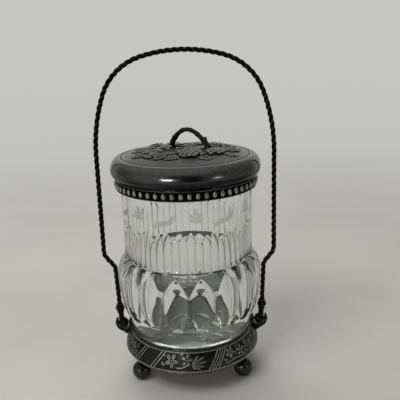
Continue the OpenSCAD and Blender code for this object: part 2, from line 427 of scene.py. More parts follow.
def mark_wear(piece: Piece, gain: float, spread: int = 2, lift: Values = 0.0) -> None:
    """Stores how far each vertex stands out of its surroundings, 0.5 where flat.

    Args:
        piece: The mesh.
        gain: How strongly a rise in millimetres counts.
        spread: Rounds of averaging over the neighbours.
        lift: Wear to add, as on raised tops, or shade to paint in, as on the lid's lip.
    """
    mesh = piece.data
    points = points_of(piece)
    size = len(points)
    normals = np.empty(size * 3, np.float32)
    mesh.vertices.foreach_get("normal", normals)
    normals = normals.reshape(-1, 3)
    edges = np.empty(len(mesh.edges) * 2, np.int32)
    mesh.edges.foreach_get("vertices", edges)
    count = np.maximum(np.bincount(edges, minlength=size), 1)
    a, b = edges.reshape(-1, 2).T

    def average(values: np.ndarray) -> np.ndarray:
        """Mean of each vertex's neighbours.

        Args:
            values: One row for each vertex.

        Returns:
            The means, row by row.
        """
        total = np.zeros_like(values)
        for axis in range(values.shape[1]):
            for here, there in ((a, b), (b, a)):
                total[:, axis] += np.bincount(here, values[there, axis], size)
        return total / count[:, None]

    around = points
    for _ in range(spread):
        around = average(around)
    rise = ((points - around) * normals).sum(1)[:, None]
    rise = average(rise)[:, 0]
    mark(piece, "wear_and_shade", np.clip(0.5 + gain * rise + lift, 0, 1))


# ------------------------------------------------------------------ raised work


@dataclass
class Relief:
    """Raised work on a surface laid out flat, as a height at each point.

    Attributes:
        across: Place of each point across, in millimetres.
        up: Place of each point up, in millimetres.
        height: Rise at each point, in millimetres.
    """

    across: np.ndarray
    up: np.ndarray
    height: np.ndarray = field(init=False)

    def __post_init__(self) -> None:
        """Starts from bare ground."""
        self.height = np.zeros_like(self.across)

    def raise_to(self, level: np.ndarray) -> None:
        """Raises each point to the level where that is higher."""
        np.maximum(self.height, level, out=self.height)

    def local(self, x: float, y: float, turn: float) -> tuple[np.ndarray, np.ndarray]:
        """Places measured along and beside a direction in degrees from a point.

        Args:
            x: Place of the point across.
            y: Place of the point up.
            turn: The direction.

        Returns:
            The distances along the direction and to its left.
        """
        c, s = math.cos(math.radians(turn)), math.sin(math.radians(turn))
        dx, dy = self.across - x, self.up - y
        return dx * c + dy * s, dy * c - dx * s

    def berry(self, x: float, y: float, radius: float, rise: float) -> None:
        """One round berry."""
        gap = ((self.across - x) ** 2 + (self.up - y) ** 2) / radius**2
        self.raise_to(rise * np.sqrt(np.clip(1 - gap, 0, 1)))

    def cluster(
        self, centre: tuple, half: tuple, turn: float, radius: float, rise: float
    ) -> None:
        """A heap of berries in an oval.

        Args:
            centre: Middle of the oval.
            half: Its half axes.
            turn: Its direction in degrees.
            radius: Radius of one berry.
            rise: Height at the middle of the heap.
        """
        pitch = radius * 1.72
        rows = int(half[1] / (pitch * 0.87)) + 1
        columns = int(half[0] / pitch) + 1
        c, s = math.cos(math.radians(turn)), math.sin(math.radians(turn))
        for row in range(-rows, rows + 1):
            for column in range(-columns, columns + 1):
                # No berry sits quite in its row.
                sway, bob = math.sin(7 * row + column), math.sin(5 * column + 2 * row)
                a = (column + 0.5 * (row % 2)) * pitch + 0.25 * sway
                b = row * pitch * 0.87 + 0.25 * bob
                out = (a / half[0]) ** 2 + (b / half[1]) ** 2
                if out < 1:
                    top = rise * (0.62 + 0.38 * math.sqrt(1 - out))
                    x, y = centre[0] + a * c - b * s, centre[1] + a * s + b * c
                    self.berry(x, y, radius, top)

    def leaf(
        self,
        base: tuple,
        turn: float,
        length: float,
        width: float,
        rise: float,
        teeth: int = 0,
    ) -> None:
        """A leaf with a midrib, side veins and, if wanted, a toothed edge.

        Args:
            base: Where its stalk meets it.
            turn: Its direction in degrees.
            length: From base to tip.
            width: Across its widest place.
            rise: Height of its blade.
            teeth: Number of teeth along each side.
        """
        along, side = self.local(*base, turn)
        t = np.clip(along / length, 0, 1)
        edge = width / 2 * np.sin(math.pi * t**0.82) ** 0.8
        if teeth:
            edge = edge * (0.86 + 0.14 * np.abs(np.sin(math.pi * teeth * t)))
        ratio = np.abs(side) / np.maximum(edge, 1e-6)
        blade = np.sqrt(np.clip(1 - ratio**3, 0, 1)) * (0.72 + 0.28 * ratio)
        vein = 0.16 * np.cos(2 * math.pi * (along - np.abs(side) * 0.9) / (length / 6))
        midrib = 0.5 * np.exp(-((side / (0.055 * width + 0.16)) ** 2))
        level = rise * blade * (0.86 + vein * (ratio < 0.92) - midrib)
        self.raise_to(np.where((along > 0) & (along < length) & (ratio < 1), level, 0))

    def blossom(self, centre: tuple, radius: float, rise: float, turn: float) -> None:
        """An open flower with cupped petals round a button.

        Args:
            centre: Middle of the flower.
            radius: From the middle to a petal's tip.
            rise: Height of the petals' rims.
            turn: Direction of the first petal in degrees.
        """
        along, side = self.local(*centre, turn)
        reach = np.hypot(along, side)
        sector = 2 * math.pi / PETALS
        swing = wrap(np.arctan2(side, along), sector) / (sector / 2)
        edge = radius * (1 - 0.42 * np.abs(swing) ** 2.6)
        t = reach / edge
        rim = np.sqrt(np.clip(1 - t**5, 0, 1))
        cup = 0.42 + 0.58 * np.clip(t, 0, 1) ** 1.3
        seam = 1 - 0.8 * np.abs(swing) ** 5
        crease = 0.22 * np.exp(-((swing * reach / (0.09 * radius)) ** 2))
        self.raise_to(np.where(t < 1, rise * rim * cup * (seam - crease), 0))
        self.berry(*centre, radius * 0.24, rise * 1.05)

    def leafy_flower(
        self, centre: tuple, length: float, width: float, rise: float, turn: float
    ) -> None:
        """A flower of separate petals shaped like leaves, round a button.

        Args:
            centre: Middle of the flower.
            length: Length of a petal.
            width: Width of a petal.
            rise: Height of the petals.
            turn: Direction of the first petal in degrees.
        """
        button = 0.17 * length
        for way in np.radians(turn + 360 / PETALS * np.arange(PETALS)):
            x = centre[0] + button * math.cos(way)
            y = centre[1] + button * math.sin(way)
            self.leaf((x, y), math.degrees(way), length, width, rise)
        self.berry(*centre, button, rise)

    def stem(self, way: Line, width: float, rise: float) -> None:
        """A round stalk along a way.

        Args:
            way: Its points.
            width: Its thickness.
            rise: Its height.
        """
        nearest = np.full_like(self.across, 1e9)
        for (x0, y0), (x1, y1) in zip(way[:-1], way[1:]):
            dx, dy = x1 - x0, y1 - y0
            t = ((self.across - x0) * dx + (self.up - y0) * dy) / (dx * dx + dy * dy)
            t = np.clip(t, 0, 1)
            gap = (self.across - x0 - t * dx) ** 2 + (self.up - y0 - t * dy) ** 2
            np.minimum(nearest, gap, out=nearest)
        self.raise_to(rise * np.sqrt(np.clip(1 - nearest / (width / 2) ** 2, 0, 1)))

    def curl(
        self, centre: tuple, radius: float, start: float, turns: float, rise: float
    ) -> None:
        """A fern tip that winds inwards.

        Args:
            centre: Eye of the curl.
            radius: Its outer radius.
            start: Direction of its outer end in degrees.
            turns: Number of turns, negative for clockwise.
            rise: Height of the line.
        """
        steps = np.linspace(0, 1, 26)
        way = [
            (
                centre[0] + radius * (1 - 0.85 * t) * math.cos(w),
                centre[1] + radius * (1 - 0.85 * t) * math.sin(w),
            )
            for t, w in zip(steps, np.radians(start) + steps * turns * 2 * math.pi)
        ]
        self.stem(way, radius * 0.28, rise)
        self.berry(*centre, radius * 0.24, rise * 1.1)


# --------------------------------------------------------------------- finishes


def srgb(code: str) -> tuple[float, float, float, float]:
    """A hex colour as the linear values that Blender works in.

    Args:
        code: The colour, such as #c4c6c1.

    Returns:
        Red, green, blue and 1.
    """
    parts = [int(code[i : i + 2], 16) / 255 for i in (1, 3, 5)]
    linear = [c / 12.92 if c <= 0.04045 else ((c + 0.055) / 1.055) ** 2.4 for c in parts]
    return (*linear, 1.0)


def per(size: float) -> float:
    """Texture scale at which one feature of a pattern is about size millimetres."""
    return 1 / (size * MM)


class Graph:
    """The node tree of one material or world, with short ways to add and link nodes."""

    def __init__(self, name: str, world: bool = False) -> None:
        """Starts an empty tree.

        Args:
            name: Name of the material or world.
            world: Whether it is a world.
        """
        kind = bpy.data.worlds if world else bpy.data.materials
        self.owner = kind.new(name)
        self.owner.use_nodes = True
        self.tree = self.owner.node_tree
        self.tree.nodes.clear()
        self.end = "OutputWorld" if world else "OutputMaterial"

    def node(
        self, kind: str, inputs: dict[str | int, Link] | None = None, **settings: object
    ) -> bpy.types.Node:
        """Adds a node.

        Args:
            kind: Its type without the ShaderNode prefix.
            inputs: A value or a socket to link, by the input's name or number.
            settings: The node's own settings.

        Returns:
            The node.
        """
        made = self.tree.nodes.new("ShaderNode" + kind)
        for key, value in settings.items():
            setattr(made, key, value)
        for key, value in (inputs or {}).items():
            if isinstance(value, Socket):
                self.tree.links.new(value, made.inputs[key])
            else:
                made.inputs[key].default_value = value
        return made

    def math(self, operation: str, *values: Link) -> Socket:
        """One step of arithmetic on values or sockets."""
        made = self.node("Math", dict(enumerate(values)), operation=operation)
        return made.outputs[0]

    def noise(self, where: Socket, size: float, detail: float) -> Socket:
        """Cloudy noise with features of a size in millimetres."""
        inputs = {"Vector": where, "Scale": per(size), "Detail": detail}
        return self.node("TexNoise", inputs).outputs["Fac"]

    def spread(
        self,
        value: Socket,
        low: float,
        high: float,
        to_low: float = 0.0,
        to_high: float = 1.0,
    ) -> Socket:
        """The value stretched from one range to another, held at both ends."""
        inputs = {0: value, 1: low, 2: high, 3: to_low, 4: to_high}
        return self.node("MapRange", inputs, clamp=True).outputs[0]

    def fade(self, value: Socket, low: float, high: float) -> Socket:
        """A soft step from 0 to 1 as the value goes from low to high.

        Args:
            value: What is stepped.
            low: Where the step starts.
            high: Where it ends.

        Returns:
            The step.
        """
        made = self.node(
            "MapRange", {0: value, 1: low, 2: high}, interpolation_type="SMOOTHSTEP"
        )
        return made.outputs[0]

    def blend(self, share: Link, first: Link, second: Link) -> Socket:
        """A mix of two colours by a share.

        Args:
            share: Share of the second colour.
            first: The first colour.
            second: The second colour.

        Returns:
            The mixed colour.
        """
        made = self.node(
            "Mix", {0: share, 6: first, 7: second}, data_type="RGBA", clamp_factor=True
        )
        return made.outputs[2]

    def place(self) -> Socket:
        """Object coordinates, which are the frame's own."""
        return self.node("TexCoord").outputs["Object"]

    def mark(self, name: str) -> Socket:
        """A number stored on the mesh."""
        made = self.node("Attribute", attribute_name=name)
        return made.outputs["Fac"]

    def bump(self, height: Socket, depth: float, under: Socket | None = None) -> Socket:
        """A bumped normal.

        Args:
            height: Pattern from 0 to 1.
            depth: Its real depth in millimetres.
            under: A normal that this one adds to.

        Returns:
            The normal.
        """
        inputs: dict = {"Height": height, "Distance": depth * MM, "Strength": 1.0}
        if under is not None:
            inputs["Normal"] = under
        return self.node("Bump", inputs).outputs[0]

    def close(self, shader: bpy.types.Node) -> bpy.types.Material | bpy.types.World:
        """Links the last shader to the output and gives the finished material."""
        self.node(self.end, {"Surface": shader.outputs[0]})
        return self.owner


@dataclass(frozen=True)
class SilverPlate:
    """Silver plate gone dark with tarnish, rubbed brighter where it stands out.

    A piece's "inner" mark shows where the plate is covered and has kept its colour.

    Attributes:
        name: Name of the material.
        ground: Colour of the tarnish in the hollows.
        face: Colour of the open faces.
        bright: Colour where hands and cloths have rubbed it.
        gloss: Roughness of the cleanest places.
        dull: Roughness of the most tarnished places.
        grain: Depth of the pitting in millimetres.
        stipple: Depth of the punched ground in millimetres, 0 for none.
        kept: Colour of covered places.
        punch: Spacing of the punched ground's pits in millimetres.
    """

    name: str
    ground: str
    face: str
    bright: str
    gloss: float
    dull: float
    grain: float
    stipple: float = 0.0
    kept: str = ""
    punch: float = 0.95

    def material(self) -> bpy.types.Material:
        """Builds the nodes.

        Returns:
            The material.
        """
        g = Graph(self.name)
        where = g.place()
        wear_and_shade = g.mark("wear_and_shade")
        # Cloudy patches, as tarnish grows, from hand size down to a few millimetres.
        clouds = g.noise(where, 22, 4)
        specks = g.noise(where, 2.6, 4)
        patches = g.spread(g.math("MULTIPLY_ADD", specks, 0.45, clouds), 0.55, 0.92)
        open_face = g.blend(patches, srgb(self.face), srgb(self.ground))
        # Hollows keep their tarnish and high places lose it.
        # On the lid the same mark also holds painted shade along the lip.
        hollow = g.spread(wear_and_shade, 0.46, 0.2)
        rubbed = g.spread(wear_and_shade, 0.54, 0.85)
        rubbed = g.math("MULTIPLY", rubbed, g.spread(specks, 0.3, 0.62, 0.45, 1.0))
        colour = g.blend(hollow, open_face, srgb(self.ground))
        colour = g.blend(rubbed, colour, srgb(self.bright))
        if self.kept:
            cleaner = g.spread(clouds, 0.3, 0.7, 1, 0.6)
            cleaner = g.math("MULTIPLY", g.mark("inner"), cleaner)
            colour = g.blend(cleaner, colour, srgb(self.kept))
        # Fine wiping scratches and pits break the gloss.
        stretched = g.node("Mapping", {"Vector": where, "Scale": (1, 1, 7)}).outputs[0]
        wipes = g.noise(stretched, 1.6, 5)
        rough = g.math("MULTIPLY_ADD", patches, self.dull - self.gloss, self.gloss)
        rough = g.math("MULTIPLY_ADD", g.spread(wipes, 0.4, 0.7), 0.1, rough)
        rough = g.math("MULTIPLY_ADD", hollow, 0.25, rough)
        normal = g.bump(g.noise(where, 0.7, 2), self.grain)
        normal = g.bump(g.noise(where, 7, 2), self.grain * 4, normal)
        if self.stipple:
            cells = {"Vector": where, "Scale": per(self.punch)}
            dots = g.node("TexVoronoi", cells, feature="F1").outputs["Distance"]
            pits = g.math("MULTIPLY", dots, g.mark("ground"))
            normal = g.bump(pits, self.stipple, normal)
        look = {"Base Color": colour, "Metallic": 1.0, "Roughness": rough}
        return g.close(g.node("BsdfPrincipled", look | {"Normal": normal}))


@dataclass(frozen=True)
class PressedGlass:
    """Clear soda lime glass from an iron mould, fire polished, with a frosted band.

    Attributes:
        name: Name of the material.
        tint: Colour of the glass.
        frost: Colour of the etched leaves.
        painted_edge_shade: Colour of the painted shade along the sharp edges of the
            pattern.
        shade: Colour of the light that passes through.
        wall: Radius of the etched wall in millimetres.
        repeats: How often the etched pattern goes round the wall.
        shift: From the front to a pattern's middle, to the right, in millimetres.
    """

    name: str = "pressed_glass"
    tint: str = "#fcfefc"
    frost: str = "#c4c6c1"
    painted_edge_shade: str = "#84867f"
    shade: str = "#dcdedc"
    wall: float = 56.8
    repeats: int = 7
    shift: float = 21.0

    @staticmethod
    def oval(
        g: Graph, across: Link, up: Link, centre: tuple, half: tuple, turn: float
    ) -> Socket:
        """One etched leaf: 1 in the middle of an oval, 0 at its edge, less outside.

        Args:
            g: The node tree.
            across: Place across.
            up: Place up.
            centre: Middle of the oval.
            half: Its half axes.
            turn: Its direction in degrees.

        Returns:
            The socket with the value.
        """
        c, s = math.cos(math.radians(turn)), math.sin(math.radians(turn))
        dx = g.math("SUBTRACT", across, centre[0])
        dy = g.math("SUBTRACT", up, centre[1])
        a = g.math("MULTIPLY_ADD", dx, c / half[0], g.math("MULTIPLY", dy, s / half[0]))
        b = g.math("MULTIPLY_ADD", dy, c / half[1], g.math("MULTIPLY", dx, -s / half[1]))
        out = g.math("ADD", g.math("POWER", a, 2.0), g.math("POWER", b, 2.0))
        return g.math("SUBTRACT", 1.0, out)

    def etching(self, g: Graph) -> Socket:
        """Frosted leaves and buds on their cups, round the wall.

        Args:
            g: The node tree.

        Returns:
            The socket, 1 where the glass is frosted.
        """
        parts = g.node("SeparateXYZ", {0: g.place()}).outputs
        turn = g.math("ARCTAN2", parts[0], g.math("MULTIPLY", parts[1], -1.0))
        up = g.math("MULTIPLY", parts[2], 1000.0)
        along = g.math("MULTIPLY_ADD", turn, self.wall, -self.shift)
        half = math.pi * self.wall / self.repeats
        across = g.math("WRAP", along, half, -half)
        shapes = (
            ((11.5, 154.4), (9.6, 2.5), 12),
            ((18.6, 158.0), (5.2, 2.2), 42),
            ((3.4, 151.4), (2.8, 1.5), -30),
            ((-13.0, 162.6), (2.5, 4.6), 4),
            ((-13.4, 156.6), (6.4, 1.9), -4),
            ((-9.8, 160.2), (3.2, 1.7), 46),
            ((-16.6, 160.4), (2.9, 1.5), -48),
        )
        shape: Link = -1.0
        for centre, size, lean in shapes:
            shape = g.math("MAXIMUM", shape, self.oval(g, across, up, centre, size, lean))
        return g.spread(shape, 0.0, 0.3)

    def material(self) -> bpy.types.Material:
        """Builds the nodes.

        Returns:
            The material.
        """
        g = Graph(self.name)
        where = g.place()
        frost = g.math("MULTIPLY", self.etching(g), g.mark("outside"))
        # The mould leaves slow waves in the skin.
        normal = g.bump(g.noise(where, 16, 1), 0.12)
        colour = g.blend(frost, srgb(self.tint), srgb(self.frost))
        # Painted shade: the edges mark darkens the sharp edges, for the dark lines the
        # glass refracts there.
        edge_shade_share = g.math("MULTIPLY", g.mark("edges"), 0.8)
        colour = g.blend(edge_shade_share, colour, srgb(self.painted_edge_shade))
        rough = g.math("MULTIPLY_ADD", frost, 0.2, 0.01)
        look = {"Base Color": colour, "Roughness": rough, "Normal": normal}
        look |= {"IOR": 1.5, "Transmission Weight": 1.0}
        glass = g.node("BsdfPrincipled", look)
        # Light passes to the inside and the table, as it does through real glass.
        clear = g.node("BsdfTransparent", {"Color": srgb(self.shade)})
        shadow = g.node("LightPath").outputs["Is Shadow Ray"]
        mixed = g.node("MixShader", {0: shadow, 1: glass.outputs[0], 2: clear.outputs[0]})
        return g.close(mixed)


@dataclass(frozen=True)
class TableTop:
    """Pale matt cloth for the table, clear at its far edge.

    Attributes:
        name: Name of the material.
        colour: Its colour.
        shade: Colour of the painted shade in the faint slack folds.
        fade: Distances in metres where it starts and ends to fade.
    """

    name: str = "pale_cloth"
    colour: str = "#bdbab7"
    shade: str = "#b5b3af"
    fade: tuple[float, float] = (0.3, 1.2)

    def material(self) -> bpy.types.Material:
        """Builds the nodes.

        Returns:
            The material.
        """
        g = Graph(self.name)
        where = g.place()
        # Painted shade: darker patches stand in for the faint slack folds of the cloth.
        folds = g.spread(g.noise(where, 190, 2), 0.35, 0.65)
        colour = g.blend(folds, srgb(self.colour), srgb(self.shade))
        cloth = g.node("BsdfPrincipled", {"Base Color": colour, "Roughness": 0.9})
        clear = g.node("BsdfTransparent")
        far = g.node("VectorMath", {0: where}, operation="LENGTH").outputs["Value"]
        edge = g.fade(far, *self.fade)
        mixed = g.node("MixShader", {0: edge, 1: cloth.outputs[0], 2: clear.outputs[0]})
        return g.close(mixed)


class Finish(Enum):
    """The named finishes of the jar's pieces."""

    RING = SilverPlate(
        "ring_plate", "#1a1a19", "#3e3e3c", "#aeaea8", 0.26, 0.42, 0.01, 0.16, "#dededa"
    )
    FLOOR = SilverPlate("floor_plate", "#70706c", "#8c8c87", "#a2a29c", 0.5, 0.66, 0.02)
    MOULDING = SilverPlate(
        "moulding_plate", "#1f1f1e", "#3c3c3b", "#7d7d79", 0.2, 0.36, 0.006
    )
    BALL = SilverPlate("ball_plate", "#141413", "#2c2c2b", "#585855", 0.14, 0.3, 0.006)
    CASTING = SilverPlate(
        "dark_casting", "#0e0e0d", "#242322", "#5c5b57", 0.26, 0.46, 0.03
    )
    LID = SilverPlate("lid_plate", "#151516", "#3f4243", "#a8a8a3", 0.1, 0.22, 0.003)
    BEADS = SilverPlate("bead_plate", "#0f0f0e", "#4c4c49", "#a2a29d", 0.12, 0.26, 0.004)
    TWIG = SilverPlate("twig_casting", "#151514", "#323231", "#6d6d68", 0.26, 0.42, 0.03)
    WIRE = SilverPlate("bail_wire", "#0f0e0b", "#26231d", "#57534a", 0.28, 0.42, 0.01)
    PIN = SilverPlate("pin_metal", "#1c1a15", "#454033", "#7c755f", 0.26, 0.46, 0.008)
    GLASS = PressedGlass()


class Dresser:
    """Keeps one material for each finish and puts pieces on their bodies."""

    def __init__(self) -> None:
        """Starts with no material made."""
        self.made: dict[Finish, bpy.types.Material] = {}

    def dress(
        self, piece: Piece, finish: Finish, body: str, slot: str, *nodes: str
    ) -> None:
        """Gives a piece its material and body, and hides the solids it stands for.

        Args:
            piece: The finished piece.
            finish: Its finish.
            body: The body it rides on.
            slot: The record's material slot; not used.
            nodes: Names of the solids it replaces.
        """
        if finish not in self.made:
            self.made[finish] = finish.value.material()
        piece.data.materials.clear()
        piece.data.materials.append(self.made[finish])
        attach(piece, body)
        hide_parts(*nodes)
        log.info("%s: %d faces on %s", piece.name, len(piece.data.polygons), body)


# ------------------------------------------------------------------------ stand


@dataclass
class StandRing:
    """The footed ring: embossed wall, two mouldings and the floor the jar sits on.

    Attributes:
        low: Height of its underside.
        tall: Its height.
        radius: Greatest radius of the wall.
        wall: Thickness of the wall.
        lean: How far a slanted line moves sideways for each millimetre up.
        mid: Height at which the panels are laid out.
        laid: Radius at which the panels are laid out.
        sector: Degrees round the ring after which the panels repeat.
        faces: Number of faces round the wall.
    """

    low: float = 20.5
    tall: float = 22.8
    radius: float = 61.0
    wall: float = 1.3
    lean: float = 0.68
    mid: float = 33.0
    laid: float = 58.5
    sector: float = 120
    faces: int = 768

    @property
    def scale(self) -> float:
        """Millimetres round the wall for each degree."""
        return math.radians(1) * self.laid

    @property
    def head(self) -> float:
        """Radius of the wall's upper edge."""
        return self.radius - 5.6

    @property
    def wall_foot(self) -> float:
        """Height of the wall's lower edge."""
        return self.low + 2.1

    @property
    def wall_top(self) -> float:
        """Height of the wall's upper edge."""
        return self.low + self.tall - 2.9

    def wall_line(self) -> Line:
        """Outer line of the wall from the hem up.

        Returns:
            The points of radius and height.
        """
        foot, outer = self.wall_foot, self.radius
        return arc((outer - 2.6, foot + 2.6), (2.6, 2.6), -78, 0, 8) + bow(
            (outer - 0.05, foot + 3.2), (self.head, self.wall_top), 0.9, 34
        )

    def raised_work(self, turn: np.ndarray, height: np.ndarray) -> Relief:
        """Lays out the embossed panels, three times round the ring.

        Args:
            turn: Angle of each point from the front in degrees, right positive.
            height: Height of each point.

        Returns:
            The relief at the points.
        """
        # The four bars in the middle of a sector stand this far right of the front.
        middle = 22.9
        scale, sector = self.scale, self.sector
        slanted = wrap(turn - middle - self.lean * (height - self.mid) / scale, sector)
        work = Relief(wrap(turn - middle, sector) * scale, height - self.mid)
        inside = ease((height - 25.0) / 0.8) * ease((40.4 - height) / 0.8)
        bars, half = (-3.85, -1.28, 1.28, 3.85, 48.1, 51.2, -53.3, -50.3), 0.62
        for bar in bars:
            gap = np.abs(wrap(slanted - bar, sector)) * scale
            work.raise_to(half * np.sqrt(np.clip(1 - (gap / half) ** 2, 0, 1)) * inside)
        self.lattice(work, slanted * scale, inside)
        self.wide_spray(work, -39.5 * scale)
        self.fern_spray(work, 7.0 * scale)
        for edge in (24.9, 40.5):
            gap = np.abs(height - edge)
            work.raise_to(0.42 * np.sqrt(np.clip(1 - (gap / 0.5) ** 2, 0, 1)))
        return work

    def lattice(self, work: Relief, slanted: np.ndarray, inside: np.ndarray) -> None:
        """Fine crossed lines in the narrow panel between two pairs of bars.

        Args:
            work: The relief.
            slanted: Place across on the slanted lines.
            inside: Share by which a point is inside the band.
        """
        beside = wrap(slanted - 58.95 * self.scale, self.sector * self.scale)
        panel = (np.abs(beside) < 6.6) * inside
        for lean in (0.9, -0.9):
            gap = np.abs(wrap(beside + lean * work.up, 1.9))
            work.raise_to(0.22 * np.clip(1 - gap / 0.4, 0, 1) * panel)

    def wide_spray(self, work: Relief, start: float) -> None:
        """A five petalled flower, a smaller one and a fan of long leaves.

        Args:
            work: The relief.
            start: Place of the first flower across.
        """
        work.leafy_flower((start, 0.7), 5.4, 3.4, 0.85, 62)
        work.leaf((start - 5.8, -3.6), 150, 4.4, 2.4, 0.6)
        work.leaf((start - 5.4, 3.8), 160, 4.0, 2.2, 0.6)
        work.stem([(start + 4, -4.4), (start + 8, -4.8), (start + 14, -2)], 0.9, 0.6)
        work.leafy_flower((start + 13.4, 1.6), 4.6, 2.3, 0.7, 80)
        fan = ((48, 9.4), (26, 12.6), (6, 12.8), (-14, 11.0), (-34, 9.0), (-58, 6.4))
        for turn, length in fan:
            work.leaf((start + 17.4, -1.4), turn, length, 2.3, 0.72)
        work.leaf((start + 8.6, -3.8), 200, 5.0, 2.0, 0.6)
        work.leaf((start + 7.2, 5.6), 20, 4.6, 1.9, 0.6)

    def fern_spray(self, work: Relief, start: float) -> None:
        """Two flowers on a stalk that ends in curled ferns.

        Args:
            work: The relief.
            start: Place of the stalk's root across.
        """
        work.stem([(start, -5.2), (start + 9, -3.6), (start + 22, -4.8)], 0.9, 0.5)
        work.leafy_flower((start + 4.6, 2.4), 4.4, 2.6, 0.8, 60)
        work.leafy_flower((start + 16, 0.8), 4.4, 2.6, 0.8, 84)
        for x, y, turn in ((9.6, -1.6, 70), (10.6, 3.6, 36), (1, -3.4, 152)):
            work.leaf((start + x, y), turn, 5.0, 2.4, 0.55, 3)
        work.leaf((start + 20.5, -1.8), -20, 6.0, 2.4, 0.55)
        work.curl((start + 24.2, 3.4), 3.0, 230, 1.3, 0.5)
        work.curl((start + 30.6, 2.0), 2.8, 220, 1.3, 0.5)
        work.curl((start + 30.0, -4.6), 2.3, 120, -1.2, 0.5)
        work.curl((start + 36.4, -3.2), 2.5, 160, -1.2, 0.45)
        work.curl((start + 36.8, 3.8), 2.0, 230, 1.2, 0.45)

    def build_wall(self) -> Piece:
        """The embossed wall.

        Returns:
            The finished piece.
        """
        outer = self.wall_line()
        inner = [(r - self.wall, z) for r, z in outer[::-1]]
        piece = turned("ring_wall", outer + inner, self.faces, loop=True)
        points = points_of(piece)
        reach, turn = polar(points)
        radii, heights = zip(*outer)
        skin = reach > np.interp(points[:, 2], heights, radii) - 0.3
        work = self.raised_work(turn, points[:, 2])
        rise = np.where(skin, work.height, work.height * 0.8)
        points[:, :2] *= ((reach + rise * 0.95) / reach)[:, None]
        points[:, 2] += rise * 0.3
        move_points(piece, points)
        crest = ease((rise - 0.3) / 0.3) * skin
        mark_wear(piece, 2.6, 4, 0.3 * crest)
        mark(piece, "ground", skin * np.clip(1 - rise / 0.16, 0, 1))
        mark(piece, "inner", 1 - skin)
        return smooth(piece, 60)

    def build_top_moulding(self) -> Piece:
        """The rolled upper edge.

        Returns:
            The finished piece.
        """
        centre = (self.head - 0.6, self.low + self.tall - 1.55)
        line = arc(centre, (1.55, 1.55), -50, 215, 26)
        piece = turned("ring_top_moulding", line, 192, loop=True)
        mark_wear(piece, 2.2)
        return smooth(piece, 50)

    def build_bottom_moulding(self) -> Piece:
        """The thin rolled hem.

        Returns:
            The finished piece.
        """
        centre = (self.radius - 3.3, self.low + 1.1)
        line = arc(centre, (1.1, 1.1), 62, -230, 20)
        piece = turned("ring_bottom_moulding", line, 192, loop=True)
        mark_wear(piece, 3.0)
        return smooth(piece, 60)

    def build_floor(self) -> Piece:
        """The dished floor plate with its raised rings.

        Returns:
            The finished piece.
        """
        low, edge = self.low + 1.4, self.radius - 4.7
        top = low + 1.2
        line = [(0, top), (16, top), (17, top - 0.25), (18, top)]
        line += [(36, top), (37, top - 0.25), (38, top), (edge - 0.5, top)]
        line += [(edge, top - 0.4), (edge, low + 0.3), (edge - 0.4, low)]
        line += [(40, low), (39, low + 0.2), (38, low), (20, low), (0, low)]
        piece = turned("ring_floor", line, 128)
        mark_wear(piece, 2.0)
        return smooth(piece, 40)

    def dress(self, dresser: Dresser) -> None:
        """Builds and dresses the four pieces.

        Args:
            dresser: The keeper of the finishes.
        """
        plan = (
            (self.build_wall(), Finish.RING, "base_band"),
            (self.build_top_moulding(), Finish.MOULDING, "base_top_rim"),
            (self.build_bottom_moulding(), Finish.MOULDING, "base_bottom_rim"),
            (self.build_floor(), Finish.FLOOR, "base_floor"),
        )
        for piece, finish, node in plan:
            dresser.dress(piece, finish, "stand", "stand_silver", node)


@dataclass
class BallFeet:
    """Three hollow ball feet on waisted necks.

    Attributes:
        across: Diameter of a ball.
        ring: Radius of the circle they stand on.
        flat: Depth of the worn flat.
        top: Height where the necks meet the floor.
    """

    across: float = 17.0
    ring: float = 53.0
    flat: float = 0.4
    top: float = 21.88

    def build(self) -> Piece:
        """One foot on the axis.

        Returns:
            The finished piece.
        """
        r = self.across / 2
        rise = r - self.flat
        low = -math.degrees(math.asin(rise / r))
        line: Line = [(0, 0), (r * math.cos(math.radians(low)), 0)]
        line += arc((0, rise), (r, r), low + 2, 67, 30)
        line += [(3.25, 16.1), (3.0, 16.7), (2.95, 17.6), (3.2, 18.7), (3.8, 19.7)]
        line += [(4.6, 20.6), (5.2, 21.2), (5.3, self.top), (0, self.top)]
        piece = turned("foot", line, 48)
        points = points_of(piece)
        # A few shallow dents, as old hollow feet have.
        dents = ((0.7, -0.6, 0.2, 0.1), (-0.8, -0.5, -0.2, 0.08), (0.1, 0.9, 0.3, 0.1))
        middle, wide = np.array([0, 0, rise]), 2.2
        for x, y, z, depth in dents:
            dent = middle + r * np.array([x, y, z]) / math.sqrt(x * x + y * y + z * z)
            near = np.exp(-((np.linalg.norm(points - dent, axis=1) / wide) ** 2))
            points[:, :2] *= (1 - near * depth / r)[:, None]
        move_points(piece, points)
        mark_wear(piece, 2.5)
        return smooth(piece, 45)

    def dress(self, dresser: Dresser) -> None:
        """Copies the foot to its three places.

        Args:
            dresser: The keeper of the finishes.
        """
        foot = self.build()
        places = {"left": -150, "right": -30, "back": 90}
        for name, angle in places.items():
            turn = Matrix.Rotation(math.radians(angle), 4, "Z")
            shift = Matrix.Translation((self.ring * MM, 0, 0))
            piece = copied(foot, f"ball_foot_{name}", turn @ shift)
            dresser.dress(piece, Finish.BALL, "stand", "foot_silver", f"foot_{name}")
        bpy.data.objects.remove(foot)


